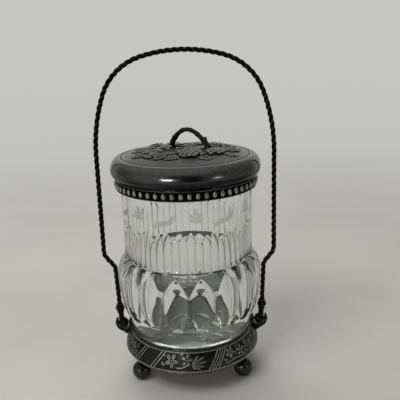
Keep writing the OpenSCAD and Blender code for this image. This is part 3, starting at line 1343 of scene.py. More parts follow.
@dataclass
class Hinges:
    """The two lugs on the ring, their pins and the cast ends of the bail.

    Attributes:
        pivot: Height of the pin.
        ear: Distance of the inner ear from the axis.
        cheek: Distance of the cheek's outer face from the axis.
        pocket: Radius of the pocket round the eye.
        wide: Width of a lug.
        eye: Distance of the eye from the axis.
        knob: Place of the knob's centre.
        lean: Lean of the socket towards the jar in degrees.
    """

    pivot: float = 42.4
    ear: float = 55.6
    cheek: float = 69.9
    pocket: float = 5.4
    wide: float = 9.0
    eye: float = 62.8
    knob: tuple[float, float] = (65.7, 57.1)
    lean: float = 2.4

    def strap(self) -> Piece:
        """The lug's strap: down the ear, round under the eye and up the cheek.

        Returns:
            The strap, to be joined to the lug.
        """
        middle = self.pocket + 0.95
        line: Line = [(self.ear + 1.1, self.pivot + z) for z in (4.4, 3.2, 1.6, 0, -1.4)]
        line += arc((self.eye, self.pivot), (middle, middle), 206, 360, 15)
        line += [(self.eye + middle, self.pivot + z) for z in (1.6, 3.2, 4.4)]
        piece = dot("strap", *line[0])
        half = self.wide / 2 - 0.6
        with editing(piece):
            bpy.ops.mesh.merge(type="CENTER")
            bpy.ops.transform.translate(value=(0, -half * MM, 0))
            bpy.ops.mesh.extrude_vertices_move(
                TRANSFORM_OT_translate={"value": (0, 2 * half * MM, 0)}
            )
            bpy.ops.mesh.select_all(action="SELECT")
            for step in strides(line):
                bpy.ops.mesh.extrude_region_move(TRANSFORM_OT_translate={"value": step})
            bpy.ops.mesh.select_all(action="SELECT")
            bpy.ops.mesh.subdivide(number_cuts=1)
        points = points_of(piece)
        above = np.clip(points[:, 2] - self.pivot, 0, 4.4) / 4.75
        points[:, 1] *= np.sqrt(1 - above**2)
        move_points(piece, points)
        apply_modifier(
            piece, "SOLIDIFY", thickness=1.8 * MM, offset=0.0, use_even_offset=True
        )
        return close_up(piece)

    def disc(self, x0: float, x1: float, radius: float, name: str) -> Piece:
        """A round boss on the pin's line, with softened rims.

        Args:
            x0: Distance of its inner face from the axis.
            x1: Distance of its outer face from the axis.
            radius: Its radius.
            name: Its name.

        Returns:
            The disc.
        """
        long = x1 - x0
        line = [(0, 0), (radius - 0.3, 0), (radius, 0.3), (radius, long - 0.3)]
        line += [(radius - 0.3, long), (0, long)]
        piece = turned(name, line, 32)
        piece.data.transform(tipped(x0, self.pivot, 90))
        return piece

    def build_lug(self) -> Piece:
        """The right lug as one casting.

        Returns:
            The finished piece.
        """
        parts = [
            self.strap(),
            self.disc(self.ear + 0.3, self.ear + 2.4, 3.5, "ear_boss"),
            self.disc(self.cheek - 1.8, self.cheek + 0.02, 3.6, "cheek_boss"),
            ball("keel", (60.2, 0, self.pivot - 8.5), (3.7, 3.8, 2.9), 20),
            ball("keel_side", (63.4, 0, self.pivot - 7.2), (2.6, 3.9, 1.5), 20),
        ]
        piece = cast(join("lug", parts), 0.34, 3)
        points = points_of(piece)
        # The ear and the strap's root follow the round wall of the ring.
        ring = StandRing()
        radii, heights = zip(*ring.wall_line())
        reach, _ = polar(points)
        wall = np.interp(points[:, 2], heights, radii, left=0, right=ring.head + 0.97)
        push = np.maximum((wall + 0.05) / reach, 1)
        push = np.where(points[:, 2] < ring.low + ring.tall, push, 1)
        points[:, :2] *= push[:, None]
        move_points(piece, points)
        mark_wear(piece, 1.6, 4)
        return smooth(piece, 70)

    def build_pin(self) -> Piece:
        """The right pin: a straight shank and a domed head outside the cheek.

        Returns:
            The finished piece.
        """
        cheek, near = self.cheek, self.ear + 0.95
        line: Line = [(0, 0), (1.3, 0), (1.5, 0.2), (1.5, cheek - near)]
        start = cheek - near + 0.03
        line += [(2.45, start), (2.7, start + 0.2), (2.55, start + 0.55)]
        line += [(2.05, start + 0.85), (1.2, start + 1.05), (0, start + 1.1)]
        piece = turned("pin", line, 32)
        piece.data.transform(tipped(near, self.pivot, 90))
        mark_wear(piece, 3.0)
        return smooth(piece, 40)

    def build_end(self) -> Piece:
        """The bail's right end: a bored eye, a waisted stem, a knob and a socket.

        Returns:
            The finished piece.
        """
        root = Vector((self.eye + 2.1, 0, self.pivot + 3.4))
        way = Vector((self.knob[0], 0, self.knob[1])) - root
        long = way.length
        stem: Line = [(0, -2.2), (2.0, -1.8), (2.55, -0.4), (2.6, 1.4), (2.4, 3.0)]
        stem += [(2.4, 4.8), (2.75, 6.2), (3.2, 6.8), (3.2, 7.4), (2.8, 7.9)]
        stem += [(2.8, long), (0, long)]
        lower = turned("stem", stem, 32)
        tilt = Matrix.Rotation(math.atan2(way.x, way.z), 4, "Y")
        lower.data.transform(Matrix.Translation(root * MM) @ tilt)
        head: Line = [(0, -3.9)] + arc((0, 0), (4.2, 3.9), -80, 46, 14)
        head += [(3.15, 3.2), (3.15, 4.15), (2.95, 4.4), (0, 4.4)]
        upper = turned("head", head, 32)
        upper.data.transform(tipped(*self.knob, self.lean))
        eye = ball("eye", (self.eye, 0, self.pivot), (4.2, 4.6, 4.6), 28)
        piece = cast(join("bail_end", [lower, upper, eye]), 0.32, 2)
        bore = self.disc(self.eye - 8, self.eye + 8, 1.62, "bore")
        socket = turned("socket", [(0, 0.8), (2.5, 0.8), (2.5, 9), (0, 9)], 32)
        socket.data.transform(tipped(*self.knob, self.lean))
        for tool in (bore, socket):
            apply_modifier(
                piece, "BOOLEAN", operation="DIFFERENCE", object=tool, solver="EXACT"
            )
            bpy.data.objects.remove(tool)
        close_up(piece)
        mark_wear(piece, 1.6, 4)
        return smooth(piece, 50)

    def dress(self, dresser: Dresser) -> None:
        """Builds the right side and mirrors it for the left.

        Args:
            dresser: The keeper of the finishes.
        """
        flip = Matrix.Scale(-1, 4, (1, 0, 0))
        lug, pin, end = self.build_lug(), self.build_pin(), self.build_end()
        plan = (
            (lug, "hinge_lug", Finish.CASTING, "stand", "lug_silver", "lug"),
            (pin, "hinge_pin", Finish.PIN, "stand", "pin_metal", "pivot_pin"),
            (end, "wire_end", Finish.CASTING, "bail", "lug_silver", "bail_end"),
        )
        for made, name, finish, body, slot, node in plan:
            for side, change in (("right", None), ("left", flip)):
                piece = copied(made, f"{name}_{side}", change)
                dresser.dress(piece, finish, body, slot, f"{node}_{side}")
            bpy.data.objects.remove(made)


# -------------------------------------------------------------------------- jar


@dataclass
class GlassJar:
    """The pressed jar: scooped bulge, fluted wall and a smooth inside.

    Attributes:
        radius: Outer radius of the upper wall.
        bulge: Greatest radius of the lower half.
        top: Height of the mouth.
        shoulder: Height where the bulge meets the wall.
        wall: Thickness of the wall.
        foot: Height of the underside.
        scoops: Number of arched scoops round the bulge.
        flutes: Number of flutes round the wall.
        apex: Height of the tips of the scoops' arches.
        tail: Height where the scoops end below.
        ledge: Height of the groove between bulge and wall.
        faces: Number of faces round the jar.
    """

    radius: float = 56.8
    bulge: float = 63.8
    top: float = 183.0
    shoulder: float = 111.5
    wall: float = 4.2
    foot: float = 23.2
    scoops: int = 18
    flutes: int = 54
    apex: float = 108.4
    tail: float = 61.2
    ledge: float = 112.0
    faces: int = 540

    @property
    def widest(self) -> float:
        """Height of the bulge's greatest radius."""
        return self.shoulder - 15.5

    def skin(self) -> Line:
        """Outer line of the glass from the foot to the shoulder, without the scoops.

        Returns:
            The points of radius and height.
        """
        r = self.radius
        return (
            [(r - 9.3, self.foot), (r - 7.6, self.foot + 1.6)]
            + bow((r - 6.6, self.foot + 6), (r - 4.4, 43.5), 0.2, 4)
            + bow((r - 3.6, 45.5), (self.bulge, self.widest), 2.9, 24)
            + arc((self.bulge - 16.5, self.widest), (16.5, 19.5), 4, 51, 16)
        )

    def outer_line(self) -> Line:
        """The skin at the heights that the scoops and flutes need.

        Returns:
            The points of radius and height.
        """
        radii, heights = zip(*self.skin())
        rows = [23.2, 24.8, 27, 29.2, 33, 37, 41, 43.5, 45.5, 48, 51, 54, 57, 59, 60.2]
        rows += list(np.arange(60.8, 66.1, 0.65)) + list(np.arange(67.5, 95, 1.9))
        rows += list(np.arange(95.5, 108.6, 0.72))
        line = [(float(np.interp(z, heights, radii)), float(z)) for z in rows]
        line += [(59.75, 108.95), (59.35, 109.5), (58.75, 110.3), (58.0, 111.0)]
        line += [(57.35, 111.45), (56.5, 111.75), (56.25, 112.05), (56.4, 112.4)]
        rows = [112.9, *np.arange(114.5, 140, 3.0), *np.arange(140.6, 149, 0.8)]
        rows += [*np.arange(151, self.top - 2, 4.2), self.top - 1]
        line += [(self.radius, z) for z in rows]
        line += arc((self.radius - 1, self.top - 1), (1, 1), 15, 90, 4)
        return line

    def inner_line(self) -> Line:
        """The plunger's smooth inside, from the mouth down to the middle.

        Returns:
            The points of radius and height.
        """
        r, t = self.radius, self.wall
        lip = arc((r - t + 1, self.top - 1), (1, 1), 90, 165, 4)
        straight = [(r - t, z) for z in np.linspace(self.top - 1.2, self.shoulder + 1.5, 4)]
        neck = [(r - t - 0.38, 104.0), (r - t - 0.7, 94.0)]
        lower = bow((r - t - 1, self.shoulder - 27.5), (r - 9.2, self.foot + 12), -0.9, 10)
        floor = arc((r - 15.5, self.foot + 12), (6.3, 5.4), -10, -90, 7)
        middle = [(20, self.foot + 6.6), (0, self.foot + 6.6)]
        return lip + straight + neck + lower + floor + middle

    def under_line(self) -> Line:
        """The hollowed underside, from the middle out to the foot.

        Returns:
            The points of radius and height.
        """
        deep, r = self.foot + 1.5, self.radius
        rim = [(r - 12.4, deep), (r - 11.6, deep - 0.6), (r - 11.2, self.foot)]
        return [(0, deep), (20, deep), *rim]

    def half_scoop(self, z: np.ndarray) -> np.ndarray:
        """Half width of a scoop at a height.

        Args:
            z: Heights.

        Returns:
            Half widths in degrees, two thirds of half a sector where no scoop is, which
            leaves the faces evenly spaced.
        """
        apex, spring, waist, end, start = self.apex, 94.5, 80.0, self.tail, 58.5
        even, full, tip, foot = 20 / 3, 9.7, 0.25, 5.0
        arch = full * np.sqrt(np.clip((apex - z) / (apex - spring), 0, 1)) ** 1.15
        width = np.where(z > spring, np.maximum(arch, tip), full)
        taper = foot + 4.7 * ease((z - end) / (waist - end)) ** 0.8
        width = np.where(z < waist, taper, width)
        width = np.where(z > apex, tip + (even - tip) * ease((z - apex) / 3.0), width)
        low = even + (foot - even) * ease((z - start) / (end - start))
        return np.where(z < end, low, width)

    def scoop_depth(self, z: np.ndarray) -> np.ndarray:
        """Greatest depth of a scoop at a height.

        Args:
            z: Heights.

        Returns:
            Depths in millimetres.
        """
        arch = np.clip((self.apex - z) / 8, 0, 1) ** 0.6
        deep = 3.2 - 0.5 * ease((84 - z) / 20)
        lip = ease((z - 60.9) / 1.6)
        return deep * arch * lip

    def press(self, piece: Piece) -> None:
        """Presses the scoops and flutes into the outside of the turned jar.

        Args:
            piece: The turned jar.
        """
        points = points_of(piece)
        z = points[:, 2]
        reach, turn = polar(points)
        radii, heights = zip(*self.skin())
        skin = np.interp(z, heights, radii, right=self.radius)
        outside = (reach > skin - self.wall / 2) & (z > 30)
        # Two thirds of each sector's faces move into the scoop's width at their height.
        sector, inside, start = 360 / self.scoops, 2 / 3, 58
        centre = np.round((turn - sector / 2) / sector) * sector + sector / 2
        share = (turn - centre) / (sector / 2)
        size = np.abs(share)
        half = self.half_scoop(z)
        inner = half * size / inside
        outer = half + (sector / 2 - half) * (size - inside) * 3
        swing = np.sign(share) * np.where(size <= inside, inner, outer)
        bulging = outside & (z > start) & (z < self.ledge)
        turn = np.where(bulging, centre + swing, turn)
        ratio = np.clip(np.abs(swing) / half, 0, 1)
        cut = self.scoop_depth(z) * (1 - ratio**2) ** 0.92
        proud = 0.55 * ease((z - start) / 7) * ease((110.5 - z) / 6)
        reach = np.where(bulging, reach + proud - cut, reach)
        # The flutes end in round tops at three heights in turn.
        pitch = 360 / self.flutes
        flute = np.floor(turn / pitch)
        across = (turn / pitch - flute) * 2 - 1
        tops = np.choose(flute.astype(int) % 3, (146.6, 141.5, 144.2))
        crown = tops - 3.6 * np.abs(across) ** 1.4
        fade = ease((crown - z) / 1.6) * ease((z - self.ledge - 0.2) / 1.4)
        depth = 1.25 + 0.2 * np.sin(1.7 * flute)
        groove = depth * (1 - across**2) ** 0.8 * fade
        walled = outside & (z > self.ledge)
        reach = np.where(walled, reach - groove, reach)
        # Painted shade darkens the sharp edges, more at the front than at the back.
        outline = np.exp(-(((np.abs(swing) / half - 0.97) / 0.08) ** 2))
        outline *= ease((z - 60) / 3) * ease((109.5 - z) / 1.5)
        front_weight = 0.1 + 0.9 * np.cos(np.radians(turn) / 2) ** 6
        front_weight *= 0.75 + 0.25 * np.sin(2.4 * flute)
        edges = np.where(walled, np.abs(across) ** 7 * fade * front_weight, 0)
        edges = np.where(bulging, outline, edges)
        # The groove at the ledge gets a fainter line of painted shade.
        seam = np.exp(-(((z - self.ledge + 0.1) / 0.4) ** 2))
        edges = np.maximum(edges, 0.3 * outside * seam)
        angle = np.radians(turn)
        points[:, 0], points[:, 1] = reach * np.sin(angle), -reach * np.cos(angle)
        move_points(piece, points)
        mark(piece, "outside", outside)
        mark(piece, "edges", edges)

    def dress(self, dresser: Dresser) -> None:
        """Turns, presses and dresses the jar.

        Args:
            dresser: The keeper of the finishes.
        """
        line = self.under_line() + self.outer_line() + self.inner_line()
        piece = turned("glass_jar", line, self.faces)
        self.press(piece)
        smooth(piece, 24)
        dresser.dress(piece, Finish.GLASS, "jar", "jar_glass", "jar_glass")


# -------------------------------------------------------------------------- lid


@dataclass
class Lid:
    """The domed lid: chased top, rolled rim, skirt, beaded band and handle nuts.

    Attributes:
        radius: Greatest radius of the rim.
        mouth: Height of the jar's mouth.
        rise: Rise of the dome above the mouth.
        metal: Thickness of the metal.
        beads: Number of beads.
        feet: Places where the handle is fixed.
        faces: Number of faces round the shell.
    """

    radius: float = 65.0
    mouth: float = 183.0
    rise: float = 21.2
    metal: float = 1.2
    beads: int = 56
    feet: tuple = ((-12.0, 22.0), (20.0, 0.0))
    faces: int = 420

    @property
    def dome(self) -> float:
        """Radius of the flat dome."""
        return self.radius - 8

    @property
    def skirt(self) -> float:
        """Outer radius of the skirt."""
        return self.radius - 6

    @property
    def levels(self) -> tuple[float, float, float]:
        """Heights of the lip, of the rim's greatest radius and of the rim's top."""
        return self.mouth - 0.5, self.mouth + 6.4, self.mouth + 17

    def dome_height(self, reach: Values) -> Values:
        """Height of the plain dome at a distance from the axis."""
        return self.mouth + self.rise - 4.2 * (reach / self.dome) ** 2

    def outer_line(self) -> Line:
        """From the middle out over the rim and down to the lip.

        Returns:
            The points of radius and height.
        """
        lip, mid, high = self.levels
        line = [(float(r), float(self.dome_height(r))) for r in np.arange(0, 52.6, 0.45)]
        for groove, depth, half in ((53.6, 0.22, 0.4), (55.2, 0.6, 0.75)):
            for step, share in ((-1, 0), (-0.4, 1), (0.4, 1), (1, 0)):
                r = groove + step * half
                line.append((r, float(self.dome_height(r)) - depth * share))
        line += arc((self.dome, mid), (8, high - mid), 90, 0, 22)
        line += arc((self.dome + 1.5, mid), (6.5, mid - lip), -6, -70, 12)
        return line

    def inner_line(self) -> Line:
        """Back from the lip inside the shell to the middle.

        Returns:
            The points of radius and height.
        """
        lip, mid, high = self.levels
        t = self.metal
        line = [(self.skirt + 0.1, lip + 0.1), (self.skirt + 0.1, lip + t)]
        line += arc((self.dome + 1.5, mid), (6.5 - t, mid - lip - t), -70, -8, 6)
        line += arc((self.dome, mid), (8 - t, high - mid - t), 0, 90, 8)
        line += [(float(r), float(self.dome_height(r)) - t) for r in (48, 36, 24, 12, 0)]
        return line

    def chasing(self, work: Relief) -> None:
        """Lays out fruit, leaves and flowers over the dome.

        Args:
            work: The relief of the dome.
        """
        work.stem([(-30, 30), (-12, 22), (4, 6), (12, -2), (20, 0), (34, 6)], 2.6, 1.2)
        work.stem([(4, 6), (-8, -2), (-20, -4), (-34, -6)], 2.0, 1.0)
        work.stem([(-12, 22), (0, 34), (16, 42)], 2.0, 1.0)
        leaves = (
            ((-6, -10), 214, 19, 13),
            ((-16, -22), 238, 15, 11),
            ((-4, -30), 206, 14, 10),
            ((13, -30), 312, 12, 10),
            ((18, -6), 272, 15, 10),
            ((33, -18), 336, 13, 10),
            ((32, 2), 14, 17, 12),
            ((20, 12), 52, 18, 13),
            ((4, 12), 92, 18, 12),
            ((-10, 26), 100, 17, 12),
            ((-20, 28), 140, 18, 13),
            ((-26, 16), 168, 20, 13),
            ((-34, 4), 186, 13, 11),
            ((-34, -14), 206, 12, 10),
            ((8, 36), 64, 13, 10),
            ((30, 32), 30, 14, 11),
        )
        for base, turn, length, width in leaves:
            work.leaf(base, turn, length, width, 1.3, 6)
        flowers = (
            ((-27, -3), 10.0, 62),
            ((-27, -20), 8.5, 98),
            ((10, 28), 8.0, 40),
            ((-12, 43), 6.2, 15),
            ((41, -3), 6.4, 50),
            ((38, 16), 6.8, 80),
        )
        for centre, radius, turn in flowers:
            work.blossom(centre, radius, 1.8, turn)
        fruit = (
            ((4.5, -18), (10.5, 14), 8, 2.5, 3.1),
            ((26, -12), (7.5, 11), -12, 2.4, 2.8),
            ((27, 26), (7, 8), 30, 2.3, 2.4),
            ((-17, 10), (6.5, 7), 20, 2.3, 2.4),
            ((-27, 40), (6, 5), 10, 2.2, 2.2),
        )
        for heap in fruit:
            work.cluster(*heap)

    def build_cap(self) -> Piece:
        """The shell with its chased dome.

        Returns:
            The finished piece.
        """
        piece = turned("lid_shell", self.outer_line() + self.inner_line(), self.faces)
        points = points_of(piece)
        reach, _ = polar(points)
        skin = points[:, 2] > self.dome_height(reach) - 0.4
        work = Relief(points[:, 0].copy(), points[:, 1].copy())
        self.chasing(work)
        rise = work.height * ease((52.2 - reach) / 2.5) * skin
        # Old plate is never quite true: the dome sways a little between the motifs.
        sway = 0.18 * np.sin(points[:, 0] / 7 + 1) * np.cos(points[:, 1] / 9)
        points[:, 2] += rise + sway * skin * ease((50 - reach) / 12)
        move_points(piece, points)
        # Painted shade darkens the lip over the beads; the fruit tops are polished.
        lip = ease((self.mouth + 8.5 - points[:, 2]) / 6.0)
        crest = ease((rise - 1.3) / 1.2)
        ground = ease((46 - reach) / 4) * ease((0.5 - rise) / 0.4) * skin
        mark_wear(piece, 3.4, 3, 0.26 * crest - 0.3 * lip - 0.12 * ground)
        return smooth(piece, 50)

    def build_skirt(self) -> Piece:
        """The ring that grips the glass, with a flange on the mouth.

        Returns:
            The finished piece.
        """
        outer, low, top = self.skirt, self.mouth - 9.7, self.mouth + 0.1
        flange, t = 53.1, self.metal
        line: Line = [(outer, low + 0.5), (outer - 0.35, low + 0.05)]
        line += [(outer - t + 0.3, low + 0.05), (outer - t, low + 0.4)]
        line += [(outer - t, top - 0.6), (outer - t - 0.5, top)]
        line += [(flange, top), (flange, top + t)]
        line += [(outer - 0.4, top + t), (outer, top + t - 0.4)]
        piece = turned("lid_skirt_ring", line, 192, loop=True)
        mark_wear(piece, 2.0)
        return smooth(piece, 40)

    def build_beads(self) -> Piece:
        """The strip with its row of upright beads between two fine lines.

        Returns:
            The finished piece.
        """
        inner, low = self.skirt + 0.05, self.mouth - 9.6
        line: Line = [(inner, low), (inner + 1.7, low), (inner + 2.2, low + 0.35)]
        line += [(inner + 2.0, low + 0.8), (inner + 1.0, low + 1.1)]
        line += [(inner + 0.85, low + 7.7), (inner + 1.3, low + 8.0)]
        line += [(inner + 2.3, low + 8.1), (inner + 2.5, low + 8.45)]
        line += [(inner + 2.2, low + 8.8), (inner, low + 8.8)]
        strip = turned("strip", line, 240, loop=True)
        one = ball("bead", (inner + 1.45, 0, low + 4.4), (1.95, 2.15, 3.0), 14)
        parts = [strip]
        for number in range(self.beads):
            turn = Matrix.Rotation(math.radians(360 * (number + 0.5) / self.beads), 4, "Z")
            parts.append(copied(one, f"bead_{number}", turn))
        bpy.data.objects.remove(one)
        piece = join("lid_beading", parts)
        reach, _ = polar(points_of(piece))
        mark(piece, "wear_and_shade", np.clip((reach - inner - 0.7) / 2.2, 0, 1))
        return smooth(piece, 50)

    def build_nuts(self) -> Piece:
        """The two nuts that hold the handle from inside.

        Returns:
            The finished piece.
        """
        parts = []
        for x, y in self.feet:
            clear_selection()
            bpy.ops.mesh.primitive_cylinder_add(
                vertices=6,
                radius=3 * MM,
                depth=2 * MM,
                location=(x * MM, y * MM, (self.mouth + 17.2) * MM),
            )
            nut = settle(bpy.context.object)
            with editing(nut, "FACE"):
                bpy.ops.mesh.select_all(action="DESELECT")
            for face in nut.data.polygons:
                face.select = abs(face.normal.z) > 0.9
            take(nut)
            bpy.ops.object.mode_set(mode="EDIT")
            bpy.ops.mesh.inset(thickness=0.5 * MM)
            bpy.ops.mesh.inset(thickness=0.9 * MM, depth=-0.15 * MM)
            bpy.ops.object.mode_set(mode="OBJECT")
            apply_modifier(nut, "BEVEL", width=0.25 * MM, segments=2)
            parts.append(nut)
        piece = close_up(join("handle_nut_pair", parts))
        mark_wear(piece, 1.5, 1)
        return smooth(piece, 40)

    def dress(self, dresser: Dresser) -> None:
        """Builds and dresses the lid's pieces, apart from the handle.

        Args:
            dresser: The keeper of the finishes.
        """
        plan = (
            (self.build_cap(), Finish.LID, "lid_silver", "lid_cap"),
            (self.build_skirt(), Finish.LID, "lid_silver", "lid_skirt"),
            (self.build_beads(), Finish.BEADS, "bead_silver", "lid_bead_band"),
            (self.build_nuts(), Finish.PIN, "pin_metal", "handle_nuts"),
        )
        for piece, finish, slot, node in plan:
            dresser.dress(piece, finish, "lid", slot, node)


@dataclass
class TwigHandle:
    """The cast twig that lifts the lid, with bark, knots and a cut side shoot.

    Attributes:
        start: Place of the left foot.
        end: Place of the right foot.
        base: Height of the dome under the feet.
        rise: Height of the arch.
        thick: Radius of the twig.
    """

    start: tuple[float, float] = (-12.0, 22.0)
    end: tuple[float, float] = (20.0, 0.0)
    base: float = 203.8
    rise: float = 15.5
    thick: float = 2.15

    def centre(self, t: float) -> np.ndarray:
        """Centre of the twig at a share of its span.

        Args:
            t: The share, from 0 to 1.

        Returns:
            The point in millimetres.
        """
        u = t + 0.4 * t * t * (1 - t)
        height = self.rise * max(math.sin(math.pi * u), 0) ** 0.6
        low = -1.6 if t in (0, 1) else height
        x = self.start[0] + (self.end[0] - self.start[0]) * t
        y = self.start[1] + (self.end[1] - self.start[1]) * t
        return np.array([x, y, self.base + low])

    def radius(self, t: float) -> float:
        """Radius of the twig at a share of its span.

        Args:
            t: The share, from 0 to 1.

        Returns:
            The radius in millimetres.
        """
        knots = sum(
            size * math.exp(-(((t - at) / 0.022) ** 2))
            for at, size in ((0.1, 0.45), (0.3, 0.35), (0.55, 0.3), (0.72, 0.5), (0.9, 0.6))
        )
        return self.thick - 0.3 + 0.8 * abs(2 * t - 1) ** 4 + knots

    def bark(self, piece: Piece) -> None:
        """Draws bark ridges along the twig.

        Args:
            piece: The cast handle.
        """
        points = points_of(piece)
        shares = np.linspace(0, 1, 200)
        line = np.array([self.centre(t) for t in shares])
        nearest = ((points[:, None, :] - line[None]) ** 2).sum(2).argmin(1)
        out = points - line[nearest]
        far = np.linalg.norm(out, axis=1)
        ring = np.arctan2(out[:, 1] + out[:, 0] * 0.3, out[:, 2])
        t = shares[nearest]
        ridge = np.sin(7 * ring + 9 * t + 2 * np.sin(25 * t)) * 0.16
        ridge += np.sin(95 * t + 3 * ring) * 0.08
        points += out / np.maximum(far, 0.3)[:, None] * ridge[:, None]
        move_points(piece, points)

    def build(self) -> Piece:
        """The whole handle as one casting.

        Returns:
            The finished piece.
        """
        shares = np.concatenate(([0], np.linspace(0.006, 0.994, 90), [1]))
        way = np.array([self.centre(float(t)) for t in shares])
        arch = tube("arch", way, np.array([self.radius(float(t)) for t in shares]), 4)
        root = self.centre(0.86)
        shoot = tube(
            "shoot",
            np.array([root, root + [1.7, -0.6, 0.8], root + [3.4, -1.2, 1.4]]),
            np.array([1.8, 1.45, 1.35]),
        )
        buds = [
            ball("bud", tuple(self.centre(0.3) + [0.4, 1.2, 1.5]), (1.0, 1.0, 1.1), 14),
            ball("bud", tuple(self.centre(0.64) + [0.6, -1.2, 1.2]), (1.1, 1.0, 0.9), 14),
            ball("foot", (*self.start, self.base - 0.3), (4.0, 3.6, 1.5), 20),
            ball("foot", (*self.end, self.base - 0.3), (4.2, 3.8, 1.6), 20),
        ]
        piece = cast(join("twig", [arch, shoot, *buds]), 0.36, 2)
        self.bark(piece)
        mark_wear(piece, 1.8, 3)
        return smooth(piece, 70)

    def dress(self, dresser: Dresser) -> None:
        """Builds and dresses the handle."""
        dresser.dress(self.build(), Finish.TWIG, "lid", "twig_silver", "twig_handle")


# ------------------------------------------------------------------------- bail


@dataclass
class Bail:
    """The bail of three wires twisted together.

    Attributes:
        top: Height of the arch along its centre line.
        wire: Radius of one wire.
        offset: From the rope's middle to the middle of a wire.
        pitch: Length of one full turn of the twist.
        steps: Points along a wire for one full turn of the twist.
        route: Half of the way from the apex: length and turn of each stretch.
    """

    top: float = 287.2
    wire: float = 1.0
    offset: float = 1.235
    pitch: float = 17.4
    steps: int = 30
    route: tuple = (
        (34.9, 16),
        (47.12, 54),
        (52.36, 20),
        (87.1, 0),
        (6.63, 38),
        (9.4, 0),
        (4.35, -35.6),
        (37.2, 0),
    )

    @property
    def half(self) -> float:
        """Length of half of the way."""
        return sum(length for length, _ in self.route)

    def walk(self, s: float) -> tuple[float, float, float]:
        """Place across and up and the heading in degrees after a length.

        Args:
            s: Length from the apex, along the right half.

        Returns:
            Millimetres across, millimetres up from the apex and the heading.
        """
        x = z = heading = 0.0
        for length, turn in self.route:
            run = min(s, length)
            h0 = math.radians(heading)
            if turn:
                bend = length / math.radians(turn)
                h1 = math.radians(heading + turn * run / length)
                x += bend * (math.sin(h1) - math.sin(h0))
                z += bend * (math.cos(h1) - math.cos(h0))
            else:
                x += run * math.cos(h0)
                z -= run * math.sin(h0)
            heading += turn * run / length
            s -= run
            if s <= 1e-9:
                break
        return x, z, heading

    def place(self, s: float) -> tuple[float, float, float]:
        """Place across and up and the heading in radians, a length right of the apex.

        Args:
            s: The length, negative on the left.

        Returns:
            The place in millimetres and the heading.
        """
        side = -1 if s < 0 else 1
        x, z, heading = self.walk(abs(s))
        return side * x, self.top + z, math.radians(side * heading)

    def wire_way(self, phase: float) -> np.ndarray:
        """Centre points of one wire along the whole bail.

        Args:
            phase: Where the wire starts round the rope, in degrees.

        Returns:
            The points in millimetres.
        """
        steps = int(2 * self.half / self.pitch * self.steps)
        rows = []
        for s in np.linspace(-self.half, self.half, steps + 1):
            x, z, h = self.place(s)
            w = math.radians(phase - 360 * s / self.pitch)
            out = self.offset * math.cos(w)
            beside = self.offset * math.sin(w)
            rows.append((x + math.sin(h) * out, beside, z + math.cos(h) * out))
        return np.array(rows)

    def dress(self, dresser: Dresser) -> None:
        """Builds and dresses the three wires.

        Args:
            dresser: The keeper of the finishes.
        """
        for name, phase in (("a", 0.0), ("b", 120.0), ("c", 240.0)):
            way = self.wire_way(phase)
            piece = tube(f"twisted_wire_{name}", way, np.full(len(way), self.wire))
            middle = self.rope_distance(points_of(piece))
            mark(piece, "wear_and_shade", np.clip(0.28 + 0.3 * (middle - 1.1), 0, 1))
            smooth(piece, 60)
            dresser.dress(
                piece, Finish.WIRE, "bail", "bail_wire", f"bail_strand_{name}"
            )

    def rope_distance(self, points: np.ndarray) -> np.ndarray:
        """Distance of each point from the rope's centre line.

        Args:
            points: The points in millimetres, one row each.

        Returns:
            Their distances.
        """
        places = [self.place(s) for s in np.arange(-self.half, self.half, 1.0)]
        line = np.array([(x, 0.0, z) for x, z, _ in places])
        result, batch = np.empty(len(points)), 4000
        for start in range(0, len(points), batch):
            part = points[start : start + batch]
            gap = ((part[:, None, :] - line[None]) ** 2).sum(2).min(1)
            result[start : start + batch] = np.sqrt(gap)
        return result


# ------------------------------------------------------------------------ studio


